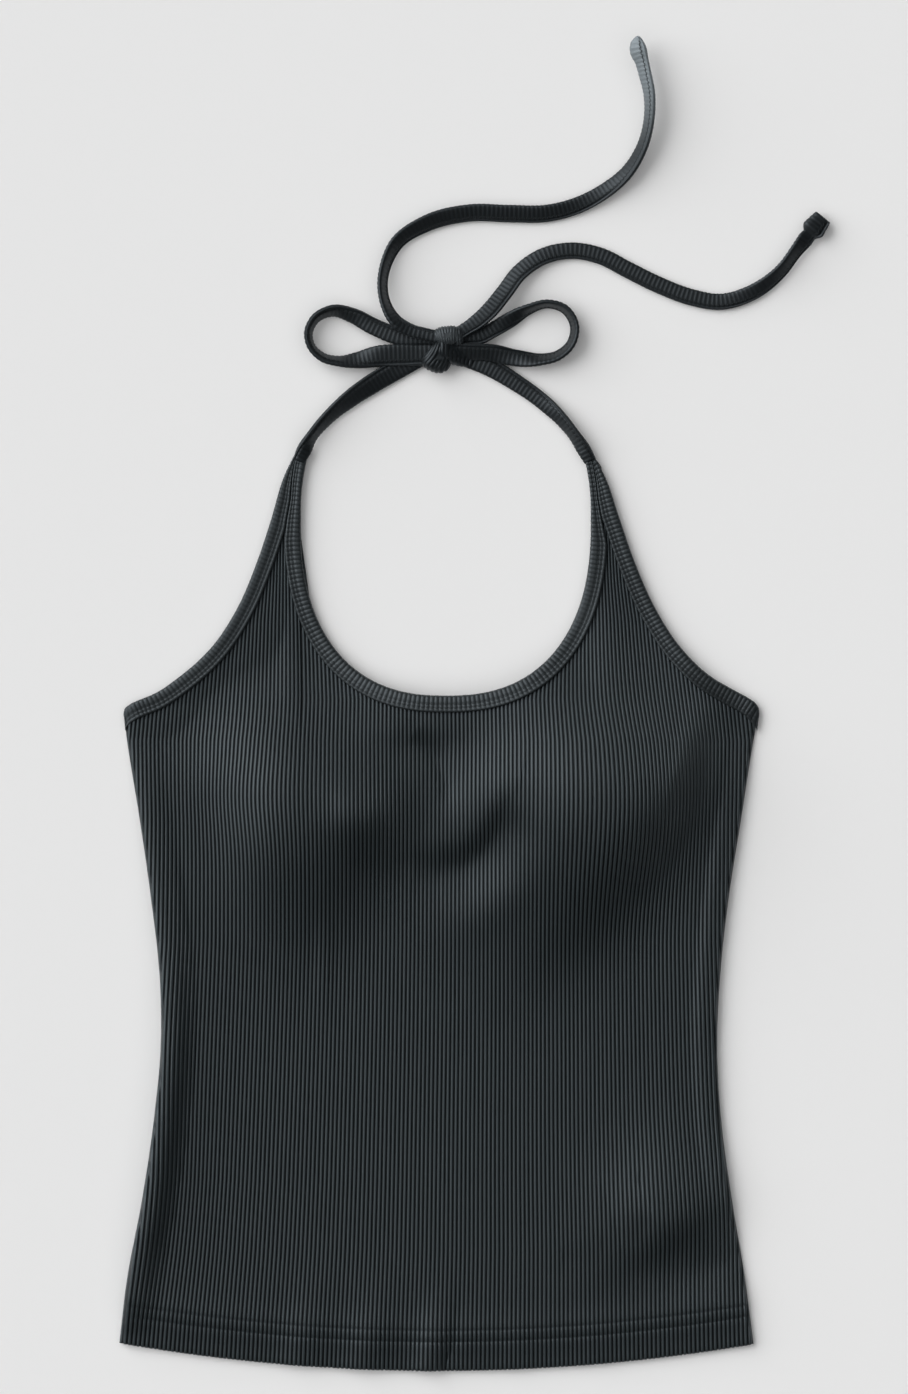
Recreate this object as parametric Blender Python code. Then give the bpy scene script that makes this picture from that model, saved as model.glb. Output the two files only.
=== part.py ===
"""Halter neck top in a rib knit, laid flat on its back with the neck ties in a bow.

Front and back are walls of ribbed cloth joined at the side seams. Strips of the same knit
bind the neckline and the armholes, and run on past the two points of the front as straps,
which tie in a bow with two loops and two free ends.

X runs across the top, Y from the hem up to the neck and Z up from the surface it lies on.
Left and right are as seen from above. The origin is on the centre line at the waist, on that
surface. Sizes and tables are in millimetres, and angles in degrees.
"""
import math

import bmesh
import bpy
import numpy as np

MM = 0.001

# Cloth.
WALL = 1.4              # thickness of the knit between its ribs
RIB_HEIGHT = 0.55       # how far a rib stands out of the knit
SEAM = 0.3              # space between neighbouring pieces
HEM_DEPTH = 24.0        # width of the turned-up hem
HEM_STEP = 1.5          # length of the slope where the hem's second layer ends
HEM_EXTRA = 0.8         # extra thickness of the hem
EDGE_ROLL = 2.5         # how far in from a side seam the cloth rounds over
EDGE_LEFT = 0.35        # share of the thickness left right at the seam

# Body outline: how far each side seam stands from the centre line.
SIDES = (
    # y, left, right
    (-178.0, 187.0, 184.0),
    (-140.0, 182.5, 179.0),
    (-94.0, 173.8, 171.4),
    (-47.0, 166.8, 165.0),
    (0.0, 162.6, 162.6),
    (35.0, 163.2, 164.2),
    (82.0, 168.3, 169.2),
    (129.0, 175.0, 176.6),
    (176.0, 182.5, 184.0),
    (192.0, 184.5, 187.0),
)
UNDERARM_Y = 192.0
UNDERARM_REACH = 187.0
HEM_Y = -193.0          # hem at the centre line
HEM_RISE = 15.5         # how much higher the hem is at the side seams
HEM_HALF_WIDTH = 184.0
BACK_TOP_Y = 184.0      # top edge of the back at the centre line
BACK_TOP_RISE = 4.0     # how much higher it is at the side seams

# Ribs of the front: they run up the cloth, and the side seams are cut across them.
RIBS = (
    # y, centre, pitch
    (-193.0, -1.2, 2.57),
    (-164.0, -0.7, 2.545),
    (-123.0, 0.5, 2.50),
    (-82.0, 1.0, 2.455),
    (-47.0, 1.4, 2.43),
    (-12.0, 1.9, 2.41),
    (23.0, 2.3, 2.39),
    (58.0, 2.6, 2.37),
    (129.0, 2.9, 2.365),
    (175.0, 2.9, 2.38),
    (199.0, 2.7, 2.35),
)
RIB_REACH = 80          # number of the outermost rib, counted from the centre line
RIB_TO_SEAM = 0.5       # least distance from a rib's line to the side seam
GATHER_X = 90.0         # above their last row the ribs gather towards the points
GATHER = (
    # y, share of the pitch
    (199.0, 1.0),
    (222.0, 0.96),
    (246.0, 0.9),
    (269.0, 0.78),
    (325.0, 0.6),
)

# Front: the heights of its rows of points between hem and bindings, and its plain inside.
FRONT_ROWS = (-105.0, -35.0, 15.0, 80.0, 135.0, 172.0)
UPPER_ROW = 0.35        # height of one more row, as a share of the way to the bindings
EDGE_SPACE = 1.0        # space between the front's raw edge and the fold of the binding
KEPT_WITHIN = 0.15      # how closely the plain inside follows the front's top edge
KEPT_SPAN = 14          # most columns that the inside skips

# Neckline: a rounded U whose sides turn in above its widest height.
NECK_X = 4.0
NECK_WIDEST_Y = 304.0
NECK_HALF_WIDTH = 84.8
NECK_DEPTH = 102.5
NECK_ROUNDNESS = 2.4    # exponent of the curve: 2 is an ellipse, more is squarer
NECK_TURN_Y = 310.0     # the sides lean in above this height
NECK_LEAN = 0.0041      # inward lean for each square millimetre of height
POINT_Y = 338.0         # where the bindings end and the straps begin
FRONT_TIP_Y = 325.0     # top of the front inside the bindings

# Armholes, from the underarm up to the strap.
ARMHOLE = (
    # y, left, right
    (192.0, 184.5, 187.0),
    (202.0, 170.0, 177.0),
    (213.5, 150.5, 158.5),
    (230.0, 132.8, 141.0),
    (252.0, 118.3, 126.8),
    (280.0, 106.3, 114.3),
    (305.0, 98.0, 105.6),
    (328.5, 91.0, 97.5),
    (351.0, 79.6, 84.8),
)

# Line where the neck binding and the armhole binding meet above the front's visible point.
POINT_SEAM = (
    # y, left, right
    (286.0, 91.2, 99.3),
    (304.0, 89.0, 95.2),
    (316.0, 86.8, 93.0),
    (328.0, 86.0, 91.7),
    (338.0, 84.6, 90.6),
)

# Bindings: a strip folded over the raw edge.
NECK_BAND = 9.8
ARM_BAND = 9.7
BACK_BAND = 9.5
BAND_UNDER = 3.0        # width of the strip's turned-under side
BAND_TOP = 1.2          # thickness of the strip's upper side
BAND_ROUND = 0.7        # rounding of its folded edge
BAND_LIP = 0.4          # bevel along its sewn edge
BAND_RIB = 2.3          # spacing of the ribs across it
BAND_RIB_HEIGHT = 0.4
RIBS_PER_PANEL = 4      # ribs between two sections of the strip's plain faces

# Where the front stands off the back: the cloth's own spring and the shaped bust.
LOFT = 2.2
LOFT_ROLL = 17.0        # distance from a side seam at which the loft is full
LOFT_FADE = 45.0        # distance over which it dies away above the hem and below the underarm
SWELLS = (
    # x, y, half_width, half_height, turn, lift
    (-83.0, 136.0, 54.0, 60.0, 0.0, 23.0),
    (96.0, 152.0, 58.0, 54.0, 50.0, 21.0),
    (118.0, 148.0, 50.0, 25.0, 50.0, 7.0),
    (128.0, -92.0, 40.0, 19.0, 32.0, 6.5),
)
SWELL_ROLL = 34.0       # distance from a side seam at which a swell is full
SWELL_TOP = 250.0       # height above which the cloth lies flat again

# Ties: a flat folded strip. Tilt turns it about its own length, raising its left edge.
TIE_THICK = 2.6
TIE_CORNER = 0.7
TIE_STEP = 10.0         # distance between the sections of a tie where it runs straight
TIE_BEND = 14.0         # distance that a turn of one radian counts for, so bends have more sections
STRAP_LEFT = (
    # x, y, z, width, thick, tilt
    (-12.5, 398.7, 1.9, 11.0, TIE_THICK, 0.0),
    (-22.5, 393.4, 1.8, 11.6, TIE_THICK, 0.0),
    (-35.5, 386.0, 1.8, 11.6, TIE_THICK, 0.0),
    (-52.7, 374.4, 2.3, 10.5, TIE_THICK, -8.0),
    (-66.1, 362.7, 4.7, 9.4, TIE_THICK, -45.0),
    (-76.0, 351.0, 5.4, 9.0, TIE_THICK, -62.0),
    (-82.2, 338.3, 3.4, 8.8, 3.4, -14.0),
)
STRAP_RIGHT = (
    # x, y, z, width, thick, tilt
    (15.5, 399.2, 1.9, 10.5, TIE_THICK, 0.0),
    (28.5, 394.3, 1.8, 11.0, TIE_THICK, 0.0),
    (43.5, 385.5, 1.8, 10.0, TIE_THICK, 0.0),
    (59.4, 374.4, 2.3, 9.2, TIE_THICK, 8.0),
    (72.0, 362.5, 4.5, 9.2, TIE_THICK, 42.0),
    (80.8, 351.2, 5.2, 9.0, TIE_THICK, 56.0),
    (88.6, 338.3, 3.4, 8.4, 3.4, 14.0),
)
BOW_LOOP_LEFT = (
    # x, y, z, width, thick, tilt
    (-12.0, 400.2, 5.1, 11.6, TIE_THICK, 0.0),
    (-22.0, 400.0, 4.9, 12.2, TIE_THICK, 0.0),
    (-35.0, 399.6, 4.8, 12.0, TIE_THICK, 0.0),
    (-47.0, 397.6, 4.9, 10.6, TIE_THICK, 25.0),
    (-57.5, 396.8, 5.2, 9.8, TIE_THICK, 55.0),
    (-68.0, 399.2, 5.4, 9.6, TIE_THICK, 64.0),
    (-74.6, 405.5, 5.4, 9.6, TIE_THICK, 70.0),
    (-76.3, 413.0, 5.4, 9.6, TIE_THICK, 70.0),
    (-72.3, 421.7, 5.4, 9.6, TIE_THICK, 66.0),
    (-62.0, 426.4, 5.2, 9.6, TIE_THICK, 56.0),
    (-50.0, 423.4, 4.9, 9.6, TIE_THICK, 30.0),
    (-38.6, 417.7, 4.8, 9.4, TIE_THICK, 5.0),
    (-23.5, 412.0, 4.9, 9.0, TIE_THICK, 0.0),
    (-9.5, 411.4, 5.3, 7.6, TIE_THICK, 0.0),
)
BOW_LOOP_RIGHT = (
    # x, y, z, width, thick, tilt
    (17.0, 411.3, 5.3, 7.4, TIE_THICK, 0.0),
    (24.0, 412.0, 5.1, 8.4, TIE_THICK, 0.0),
    (31.5, 415.2, 4.9, 9.2, TIE_THICK, 0.0),
    (40.5, 420.4, 4.8, 9.4, TIE_THICK, 18.0),
    (52.0, 427.0, 5.3, 9.4, TIE_THICK, 60.0),
    (63.5, 430.4, 5.4, 9.4, TIE_THICK, 72.0),
    (73.6, 427.2, 5.4, 9.4, TIE_THICK, 70.0),
    (79.3, 417.3, 5.4, 9.4, TIE_THICK, 68.0),
    (77.0, 406.8, 5.4, 9.4, TIE_THICK, 66.0),
    (69.5, 400.2, 5.3, 9.6, TIE_THICK, 60.0),
    (57.9, 397.8, 5.1, 9.8, TIE_THICK, 48.0),
    (45.0, 398.8, 4.9, 9.8, TIE_THICK, 20.0),
    (31.0, 401.8, 4.8, 9.2, TIE_THICK, 0.0),
    (16.5, 402.8, 5.1, 7.6, TIE_THICK, 0.0),
)
TAIL_LEFT = (
    # x, y, z, width, thick, tilt
    (-8.0, 412.6, 9.4, 7.0, TIE_THICK, 0.0),
    (-15.5, 414.4, 9.6, 7.4, TIE_THICK, 12.0),
    (-24.6, 419.6, 10.0, 8.6, TIE_THICK, 36.0),
    (-31.0, 430.0, 8.2, 9.0, TIE_THICK, 56.0),
    (-33.0, 441.7, 6.4, 9.2, TIE_THICK, 60.0),
    (-31.0, 453.4, 5.4, 9.4, TIE_THICK, 56.0),
    (-24.6, 466.0, 4.6, 9.4, TIE_THICK, 40.0),
    (-7.0, 477.6, 3.0, 9.6, TIE_THICK, 14.0),
    (18.0, 483.6, 1.8, 9.8, TIE_THICK, 0.0),
    (41.5, 483.2, 1.8, 9.8, TIE_THICK, 0.0),
    (63.0, 483.4, 1.8, 9.8, TIE_THICK, 0.0),
    (79.0, 487.3, 2.1, 9.6, TIE_THICK, -4.0),
    (96.0, 495.8, 3.4, 9.4, TIE_THICK, -20.0),
    (110.0, 507.4, 5.2, 9.4, TIE_THICK, -40.0),
    (119.3, 523.5, 7.2, 9.4, TIE_THICK, -54.0),
    (122.9, 540.0, 9.4, 9.4, TIE_THICK, -58.0),
    (122.7, 553.0, 11.0, 9.4, TIE_THICK, -54.0),
    (120.0, 567.0, 12.4, 9.6, TIE_THICK, -42.0),
    (117.6, 575.0, 13.0, 10.6, 4.2, -30.0),
    (116.9, 580.0, 13.2, 9.6, 4.2, -26.0),
    (116.3, 585.8, 13.4, 2.6, 3.6, -24.0),
)
TAIL_RIGHT = (
    # x, y, z, width, thick, tilt
    (16.5, 416.0, 9.6, 7.6, TIE_THICK, 0.0),
    (21.5, 419.2, 9.8, 8.8, TIE_THICK, -4.0),
    (28.9, 425.6, 9.4, 9.8, TIE_THICK, -10.0),
    (37.6, 436.2, 7.0, 10.0, TIE_THICK, -16.0),
    (47.4, 449.0, 4.4, 10.0, TIE_THICK, -18.0),
    (61.0, 458.2, 2.8, 9.8, TIE_THICK, -8.0),
    (78.4, 461.6, 1.9, 9.6, TIE_THICK, 0.0),
    (94.2, 458.6, 1.8, 9.6, TIE_THICK, 0.0),
    (110.5, 450.4, 1.8, 9.6, TIE_THICK, 0.0),
    (129.3, 441.2, 1.8, 9.6, TIE_THICK, 0.0),
    (148.6, 434.1, 1.8, 9.6, TIE_THICK, 0.0),
    (164.4, 431.7, 1.8, 9.4, TIE_THICK, 0.0),
    (183.7, 437.4, 2.9, 9.2, TIE_THICK, 16.0),
    (199.5, 449.3, 4.7, 9.2, TIE_THICK, 42.0),
    (209.4, 462.2, 5.2, 9.2, TIE_THICK, 44.0),
    (214.0, 469.0, 4.8, 9.6, 3.6, 24.0),
    (217.5, 473.4, 4.2, 11.0, 4.6, 10.0),
    (223.4, 480.6, 3.6, 10.6, 4.6, 6.0),
)

# Knot: the strand turned down under it, the one behind that, and the one across its top.
KNOT = (
    # x, y, z, half_width, half_length, half_height, turn
    (-1.0, 399.0, 5.6, 6.4, 10.2, 5.4, -30.0),
    (6.0, 402.4, 4.8, 8.0, 7.4, 4.6, -10.0),
    (4.8, 411.4, 7.4, 8.2, 6.0, 5.6, -6.0),
)
KNOT_CLEAR = 0.7        # space left round its outline, where flat ties meet its round side
KNOT_SIDES = 16
KNOT_RINGS = 8
KNOT_SQUARENESS = 0.6   # exponent that makes the knot's sides upright: 1 is an ellipsoid

# Slate grey cotton rib: colour, roughness and metallic value.
KNIT_COLOUR = (0.045, 0.052, 0.056, 1.0)
KNIT_ROUGHNESS = 0.92
KNIT_METALLIC = 0.0


# --- tools for curves and closed solids ---------------------------------------------------

def column(table, heading, at):
    """Read a column of a table whose first column is height, between its rows."""
    rows = np.array(table)
    return np.interp(at, rows[:, 0], rows[:, heading])


def smooth(rows, steps=16):
    """Run a smooth curve through the rows, all of their columns alike."""
    rows = np.array(rows)
    spans = np.linalg.norm(np.diff(rows[:, :2], axis=0), axis=1)
    along = np.concatenate(([0.0], np.cumsum(spans)))
    slopes = np.gradient(rows, along, axis=0)
    curve = []
    for i, span in enumerate(spans):
        for u in np.arange(steps) / steps:
            start = (1 + 2 * u) * (1 - u) ** 2 * rows[i] + u * (1 - u) ** 2 * span * slopes[i]
            end = u * u * (3 - 2 * u) * rows[i + 1] - u * u * (1 - u) * span * slopes[i + 1]
            curve.append(start + end)
    curve.append(rows[-1])
    return np.array(curve)


def evenly(curve, gap, bend=0.0):
    """Take points about one gap apart along a dense curve, and closer where it bends."""
    steps = np.diff(curve[:, :2], axis=0)
    spans = np.linalg.norm(steps, axis=1)
    heading = np.unwrap(np.arctan2(steps[:, 1], steps[:, 0]))
    spans = spans + bend * np.abs(np.gradient(heading))
    along = np.concatenate(([0.0], np.cumsum(spans)))
    stations = np.linspace(0.0, along[-1], max(2, round(along[-1] / gap) + 1))
    return np.stack([np.interp(stations, along, values) for values in curve.T], axis=1)


def fade(value):
    """Rise smoothly from 0 at 0 to 1 at 1."""
    value = np.clip(value, 0.0, 1.0)
    return value * value * (3 - 2 * value)


def join_rows(faces, first, second, first_at, second_at):
    """Fill the band between two rows of vertices that stand at the given places along it."""
    i, j = 0, 0
    while i < len(first) - 1 or j < len(second) - 1:
        second_done = j == len(second) - 1
        if second_done or (i < len(first) - 1 and first_at[i + 1] <= second_at[j + 1]):
            faces.append((first[i], first[i + 1], second[j]))
            i += 1
        else:
            faces.append((first[i], second[j + 1], second[j]))
            j += 1


def knit_material(name):
    """Give a piece its own knit material."""
    material = bpy.data.materials.new(name)
    material.use_nodes = True
    shader = material.node_tree.nodes["Principled BSDF"]
    shader.inputs["Base Color"].default_value = KNIT_COLOUR
    shader.inputs["Roughness"].default_value = KNIT_ROUGHNESS
    shader.inputs["Metallic"].default_value = KNIT_METALLIC
    material.diffuse_color = KNIT_COLOUR
    return material


def add_object(name, points, faces):
    """Make a closed mesh object from points in millimetres, its faces turned outward."""
    mesh = bpy.data.meshes.new(name)
    mesh.from_pydata([tuple(MM * float(v) for v in point) for point in points], [], faces)
    work = bmesh.new()
    work.from_mesh(mesh)
    bmesh.ops.triangulate(work, faces=work.faces, quad_method="SHORT_EDGE", ngon_method="EAR_CLIP")
    bmesh.ops.recalc_face_normals(work, faces=work.faces)
    work.to_mesh(mesh)
    work.free()
    mesh.materials.append(knit_material(name))
    mesh.shade_smooth()
    mesh.set_sharp_from_angle(angle=math.radians(35))
    made = bpy.data.objects.new(name, mesh)
    bpy.context.scene.collection.objects.link(made)
    return made


def skin_round(name, rows, places, thin_ends=False):
    """Close a solid round rows of points listed in order round its section.

    The rows may differ in number of points, and places says where along the piece each row's
    points stand. An end is capped as one face, or strip by strip if it is long and thin.
    """
    points = [point for row in rows for point in row]
    firsts = np.concatenate(([0], np.cumsum([len(row) for row in rows]))).astype(int)
    index = [list(range(firsts[k], firsts[k + 1])) for k in range(len(rows))]
    faces = []
    for k in range(len(rows)):
        following = (k + 1) % len(rows)
        join_rows(faces, index[k], index[following], places[k], places[following])
    for end in (0, -1):
        corners = [row[end] for row in index]
        if not thin_ends:
            faces.append(tuple(corners))
            continue
        for k in range(len(rows) // 2 - 1):
            faces.append((corners[k], corners[k + 1], corners[-k - 2], corners[-k - 1]))
    return add_object(name, points, faces)


# --- the body's outline and surfaces --------------------------------------------------------

SIDE_CURVE = smooth(SIDES)


def side_edges(y):
    """Distances of the left and right side seams from the centre line at a height."""
    height = min(y, UNDERARM_Y)
    left = np.interp(height, SIDE_CURVE[:, 0], SIDE_CURVE[:, 1])
    right = np.interp(height, SIDE_CURVE[:, 0], SIDE_CURVE[:, 2])
    return left, right


def across(share, y):
    """X of a place across the body, from -1 at the left seam to 1 at the right one."""
    left, right = side_edges(y)
    return share * (right if share > 0 else left)


def from_side(x, y):
    """Distance in from the nearer side seam."""
    left, right = side_edges(y)
    return max(0.0, min(x + left, right - x))


def hem_y(x):
    """Height of the hem's edge."""
    return HEM_Y + HEM_RISE * (x / HEM_HALF_WIDTH) ** 2


def back_top_y(x):
    """Height of the back's bound top edge."""
    return BACK_TOP_Y + BACK_TOP_RISE * (x / HEM_HALF_WIDTH) ** 2


def neck_curve_y(x, outset):
    """Height of the U moved out into the cloth, or its widest height beyond its sides."""
    reach = min(1.0, abs(x - NECK_X) / (NECK_HALF_WIDTH + outset))
    drop = (1 - reach ** NECK_ROUNDNESS) ** (1 / NECK_ROUNDNESS)
    return NECK_WIDEST_Y - (NECK_DEPTH + outset) * drop


def armhole_curve(side):
    """Dense points along one armhole's edge, from the underarm up; side is -1 or 1."""
    heading = 1 if side < 0 else 2
    return smooth([(side * row[heading], row[0]) for row in ARMHOLE])


def moved_in(curve, side, inset):
    """Move a curve from the armhole's edge into the cloth."""
    along = np.gradient(curve, axis=0)
    along /= np.linalg.norm(along, axis=1)[:, None]
    return curve + inset * side * np.stack([-along[:, 1], along[:, 0]], axis=1)


def arm_curve_y(x, inset):
    """Height of the armhole's edge above a place, moved into the cloth by the inset."""
    side = -1 if x < 0 else 1
    curve = moved_in(armhole_curve(side), side, inset)
    order = np.argsort(side * curve[:, 0])
    return float(np.interp(side * x, side * curve[order, 0], curve[order, 1]))


def lift(x, y):
    """How far the front stands off its resting height."""
    inward = from_side(x, y)
    roll = 1 - (1 - min(1.0, inward / LOFT_ROLL)) ** 2
    above_hem = fade((y - hem_y(x) - HEM_DEPTH * 0.4) / LOFT_FADE)
    below_arm = fade((UNDERARM_Y - y) / LOFT_FADE)
    below_neck = fade((SWELL_TOP - y) / LOFT_FADE)
    height = LOFT * roll * above_hem * below_arm
    for swell_x, swell_y, half_width, half_height, turn, rise in SWELLS:
        angle = math.radians(turn)
        u = (x - swell_x) * math.cos(angle) + (y - swell_y) * math.sin(angle)
        v = (y - swell_y) * math.cos(angle) - (x - swell_x) * math.sin(angle)
        reach = (u / half_width) ** 2 + (v / half_height) ** 2
        height += rise * math.exp(-reach) * fade(inward / SWELL_ROLL) * above_hem * below_neck
    return float(height)


def hem_layer(x, y):
    """Extra thickness where the hem is turned up."""
    up = y - hem_y(x)
    return HEM_EXTRA * float(np.clip((HEM_DEPTH + HEM_STEP - up) / HEM_STEP, 0.0, 1.0))


def rounded(x, y):
    """Share of the cloth's thickness left as it rounds over to a side seam."""
    inward = min(1.0, from_side(x, y) / EDGE_ROLL)
    return EDGE_LEFT + (1 - EDGE_LEFT) * math.sqrt(1 - (1 - inward) ** 2)


def back_upper_z(x, y):
    """Height of the back's upper face."""
    return WALL + hem_layer(x, y)


def front_under_z(x, y):
    """Height of the front's inner face."""
    return back_upper_z(x, y) + SEAM + lift(x, y)


# --- front and back ---------------------------------------------------------------------

def rib_x(rib, y):
    """Where a rib runs at a height: a whole number is the groove between two ribs."""
    x = column(RIBS, 1, y) + column(RIBS, 2, y) * rib
    point = GATHER_X * np.sign(x)
    return point + (x - point) * column(GATHER, 1, y)


def rib_at(x, y):
    """Number of the rib that runs through a place."""
    point = GATHER_X * np.sign(x)
    spread = point + (x - point) / column(GATHER, 1, y)
    return float((spread - column(RIBS, 1, y)) / column(RIBS, 2, y))


def cut_line(neck_inset, arm_inset):
    """Places across the front and the heights where it is cut off under the bindings."""
    places = np.arange(-UNDERARM_REACH, UNDERARM_REACH, 0.25)
    heights = []
    for x in places:
        height = min(FRONT_TIP_Y, arm_curve_y(x, arm_inset))
        if abs(x - NECK_X) < NECK_HALF_WIDTH + neck_inset:
            height = min(height, neck_curve_y(x, neck_inset))
        heights.append(height)
    return places, np.array(heights)


def cut_height(place_at, line):
    """Height at which a rib or a side seam, whose place is known by height, meets a line."""
    y = np.arange(FRONT_ROWS[-1], FRONT_TIP_Y, 0.25)
    over = np.flatnonzero(y > np.interp(place_at(y), *line))
    return float(y[over[0]]) if len(over) else FRONT_TIP_Y


def front_heights(place_at, bound_line, top_line):
    """Heights of a column's rows: hem, turned-up hem, body, foot and top of the bindings."""
    foot = hem_y(float(place_at(HEM_Y)))
    bound = cut_height(place_at, bound_line)
    top = cut_height(place_at, top_line)
    hem = [foot, foot + HEM_DEPTH, foot + HEM_DEPTH + HEM_STEP]
    upper = FRONT_ROWS[-1] + UPPER_ROW * (bound - FRONT_ROWS[-1])
    return hem + list(FRONT_ROWS) + [upper, bound, top]


def front_rows():
    """Rows of (rib, x, y) from the hem to the top edge, each from seam to seam."""
    bound_line = cut_line(NECK_BAND + SEAM, ARM_BAND + SEAM)
    top_line = cut_line(WALL + EDGE_SPACE, WALL + EDGE_SPACE)
    seams = []
    for side in (-1, 1):
        heading = 1 if side < 0 else 2
        def seam_x(y, side=side, heading=heading):
            return side * np.interp(np.minimum(y, UNDERARM_Y), SIDE_CURVE[:, 0], SIDE_CURVE[:, heading])
        seams.append([(float(seam_x(y)), y) for y in front_heights(seam_x, bound_line, top_line)])
    ribs = []
    for rib in np.arange(-RIB_REACH, RIB_REACH + 0.5, 0.5):
        def line_x(y, rib=rib):
            return rib_x(rib, y)
        heights = front_heights(line_x, bound_line, top_line)
        ribs.append([(rib, float(line_x(y)), y) for y in heights])
    rows = []
    for r, (left, right) in enumerate(zip(*seams)):
        between = []
        for rib in ribs:
            seam_left, seam_right = side_edges(rib[r][2])
            if RIB_TO_SEAM - seam_left < rib[r][1] < seam_right - RIB_TO_SEAM:
                between.append(rib[r])
        rows.append([(rib_at(*left), *left)] + between + [(rib_at(*right), *right)])
    return rows


def kept_columns(tops):
    """Columns that the plain inside needs to follow the top edge closely."""
    def between(first, last):
        if last - first < 2:
            return []
        a, b = tops[first], tops[last]
        chord = (b - a) / np.linalg.norm(b - a)
        away = [abs(chord[0] * (p - a)[1] - chord[1] * (p - a)[0]) for p in tops[first + 1:last]]
        worst = first + 1 + int(np.argmax(away))
        if max(away) <= KEPT_WITHIN:
            if last - first <= KEPT_SPAN:
                return []
            worst = (first + last) // 2
        return between(first, worst) + [worst] + between(worst, last)
    return [0] + between(0, len(tops) - 1) + [len(tops) - 1]


def make_front():
    """Front: ribs raised on its outer face over a plain inside."""
    rows = front_rows()
    top = rows[-1]
    kept = {top[c][0] for c in kept_columns(np.array([point[1:] for point in top]))}
    outer, inner, outer_places, inner_places = [], [], [], []
    for row in rows:
        ribbed, plain, plain_places = [], [], []
        for c, (rib, x, y) in enumerate(row):
            under = front_under_z(x, y)
            at_seam = c in (0, len(row) - 1)
            raised = RIB_HEIGHT if not at_seam and rib % 1 else 0.0
            thick = (WALL + hem_layer(x, y) + raised) * rounded(x, y)
            ribbed.append((x, y, under + thick))
            if at_seam or rib in kept:
                plain.append((x, y, under))
                plain_places.append(rib)
        outer.append(ribbed)
        inner.append(plain)
        outer_places.append([rib for rib, x, y in row])
        inner_places.append(plain_places)
    rows = outer + inner[::-1]
    return skin_round("front_panel", rows, outer_places + inner_places[::-1], thin_ends=True)


def make_back():
    """Back: plain, its outer face flat on the surface."""
    roll = np.array([0.0, 0.4, 1.0]) * EDGE_ROLL / HEM_HALF_WIDTH
    half = np.concatenate((1 - roll, np.linspace(0.8, 0.0, 4)))
    shares = np.concatenate((-half, half[-2::-1]))
    upper, lower = [], []
    columns = []
    for share in shares:
        foot = hem_y(across(share, HEM_Y))
        top = back_top_y(across(share, UNDERARM_Y)) - BACK_BAND - SEAM
        body = [row[0] for row in SIDES[1:-2]]
        heights = [foot, foot + HEM_DEPTH, foot + HEM_DEPTH + HEM_STEP] + body + [top]
        columns.append([(across(share, y), y) for y in heights])
    for row in zip(*columns):
        upper.append([(x, y, back_upper_z(x, y)) for x, y in row])
        lower.append([(x, y, back_upper_z(x, y) * (1 - rounded(x, y))) for x, y in row])
    places = [shares] * (2 * len(upper))
    return skin_round("back_panel", upper + lower[::-1], places, thin_ends=True)


# --- bindings -----------------------------------------------------------------------------

def neck_edge():
    """Dense points round the neckline's edge, from the left point down and up to the right."""
    turns = np.linspace(math.pi, 2 * math.pi, 240)
    power = 2 / NECK_ROUNDNESS
    bowl_x = NECK_X + NECK_HALF_WIDTH * np.sign(np.cos(turns)) * np.abs(np.cos(turns)) ** power
    bowl_y = NECK_WIDEST_Y - NECK_DEPTH * np.abs(np.sin(turns)) ** power
    climb = np.linspace(NECK_WIDEST_Y, POINT_Y, 30)[1:]
    lean = NECK_LEAN * np.clip(climb - NECK_TURN_Y, 0.0, None) ** 2
    left = np.stack([NECK_X - NECK_HALF_WIDTH + lean, climb], axis=1)[::-1]
    right = np.stack([NECK_X + NECK_HALF_WIDTH - lean, climb], axis=1)
    return np.concatenate((left, np.stack([bowl_x, bowl_y], axis=1), right))


def arm_edge(side):
    """Dense points along one armhole's edge, from the underarm up to the point of the front."""
    curve = armhole_curve(side)
    end = (np.interp(POINT_Y, curve[:, 1], curve[:, 0]), POINT_Y)
    return np.vstack((curve[curve[:, 1] < POINT_Y - 0.5], end))


def section_directions(edge, inward_turn, first, last):
    """Unit vectors from the edge into the cloth, turned near the ends to the given ones."""
    along = np.gradient(edge, axis=0)
    along /= np.linalg.norm(along, axis=1)[:, None]
    inward = inward_turn * np.stack([-along[:, 1], along[:, 0]], axis=1)
    travel = np.concatenate(([0.0], np.cumsum(np.linalg.norm(np.diff(edge, axis=0), axis=1))))
    from_first = fade(travel / 12.0)[:, None]
    from_last = fade((travel[-1] - travel) / 12.0)[:, None]
    inward = inward * from_first + np.array(first) * (1 - from_first)
    inward = inward * from_last + np.array(last) * (1 - from_last)
    return inward / np.linalg.norm(inward, axis=1)[:, None]


def free_width(edge, inward, band, towards):
    """Width of the band's upper side, kept on its own side of the line above the point."""
    widths = np.arange(WALL + 0.4, band + 0.05, 0.1)
    result = []
    for place, direction in zip(edge, inward):
        x = place[0] + direction[0] * widths
        y = place[1] + direction[1] * widths
        side = -1 if place[0] < NECK_X else 1
        line = side * column(POINT_SEAM, 1 if side < 0 else 2, y)
        clear = (y < POINT_SEAM[0][0]) | (towards * side * (line - x) > SEAM / 2)
        blocked = np.flatnonzero(~clear)
        result.append(widths[max(0, blocked[0] - 1)] if len(blocked) else widths[-1])
    return np.array(result)


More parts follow.
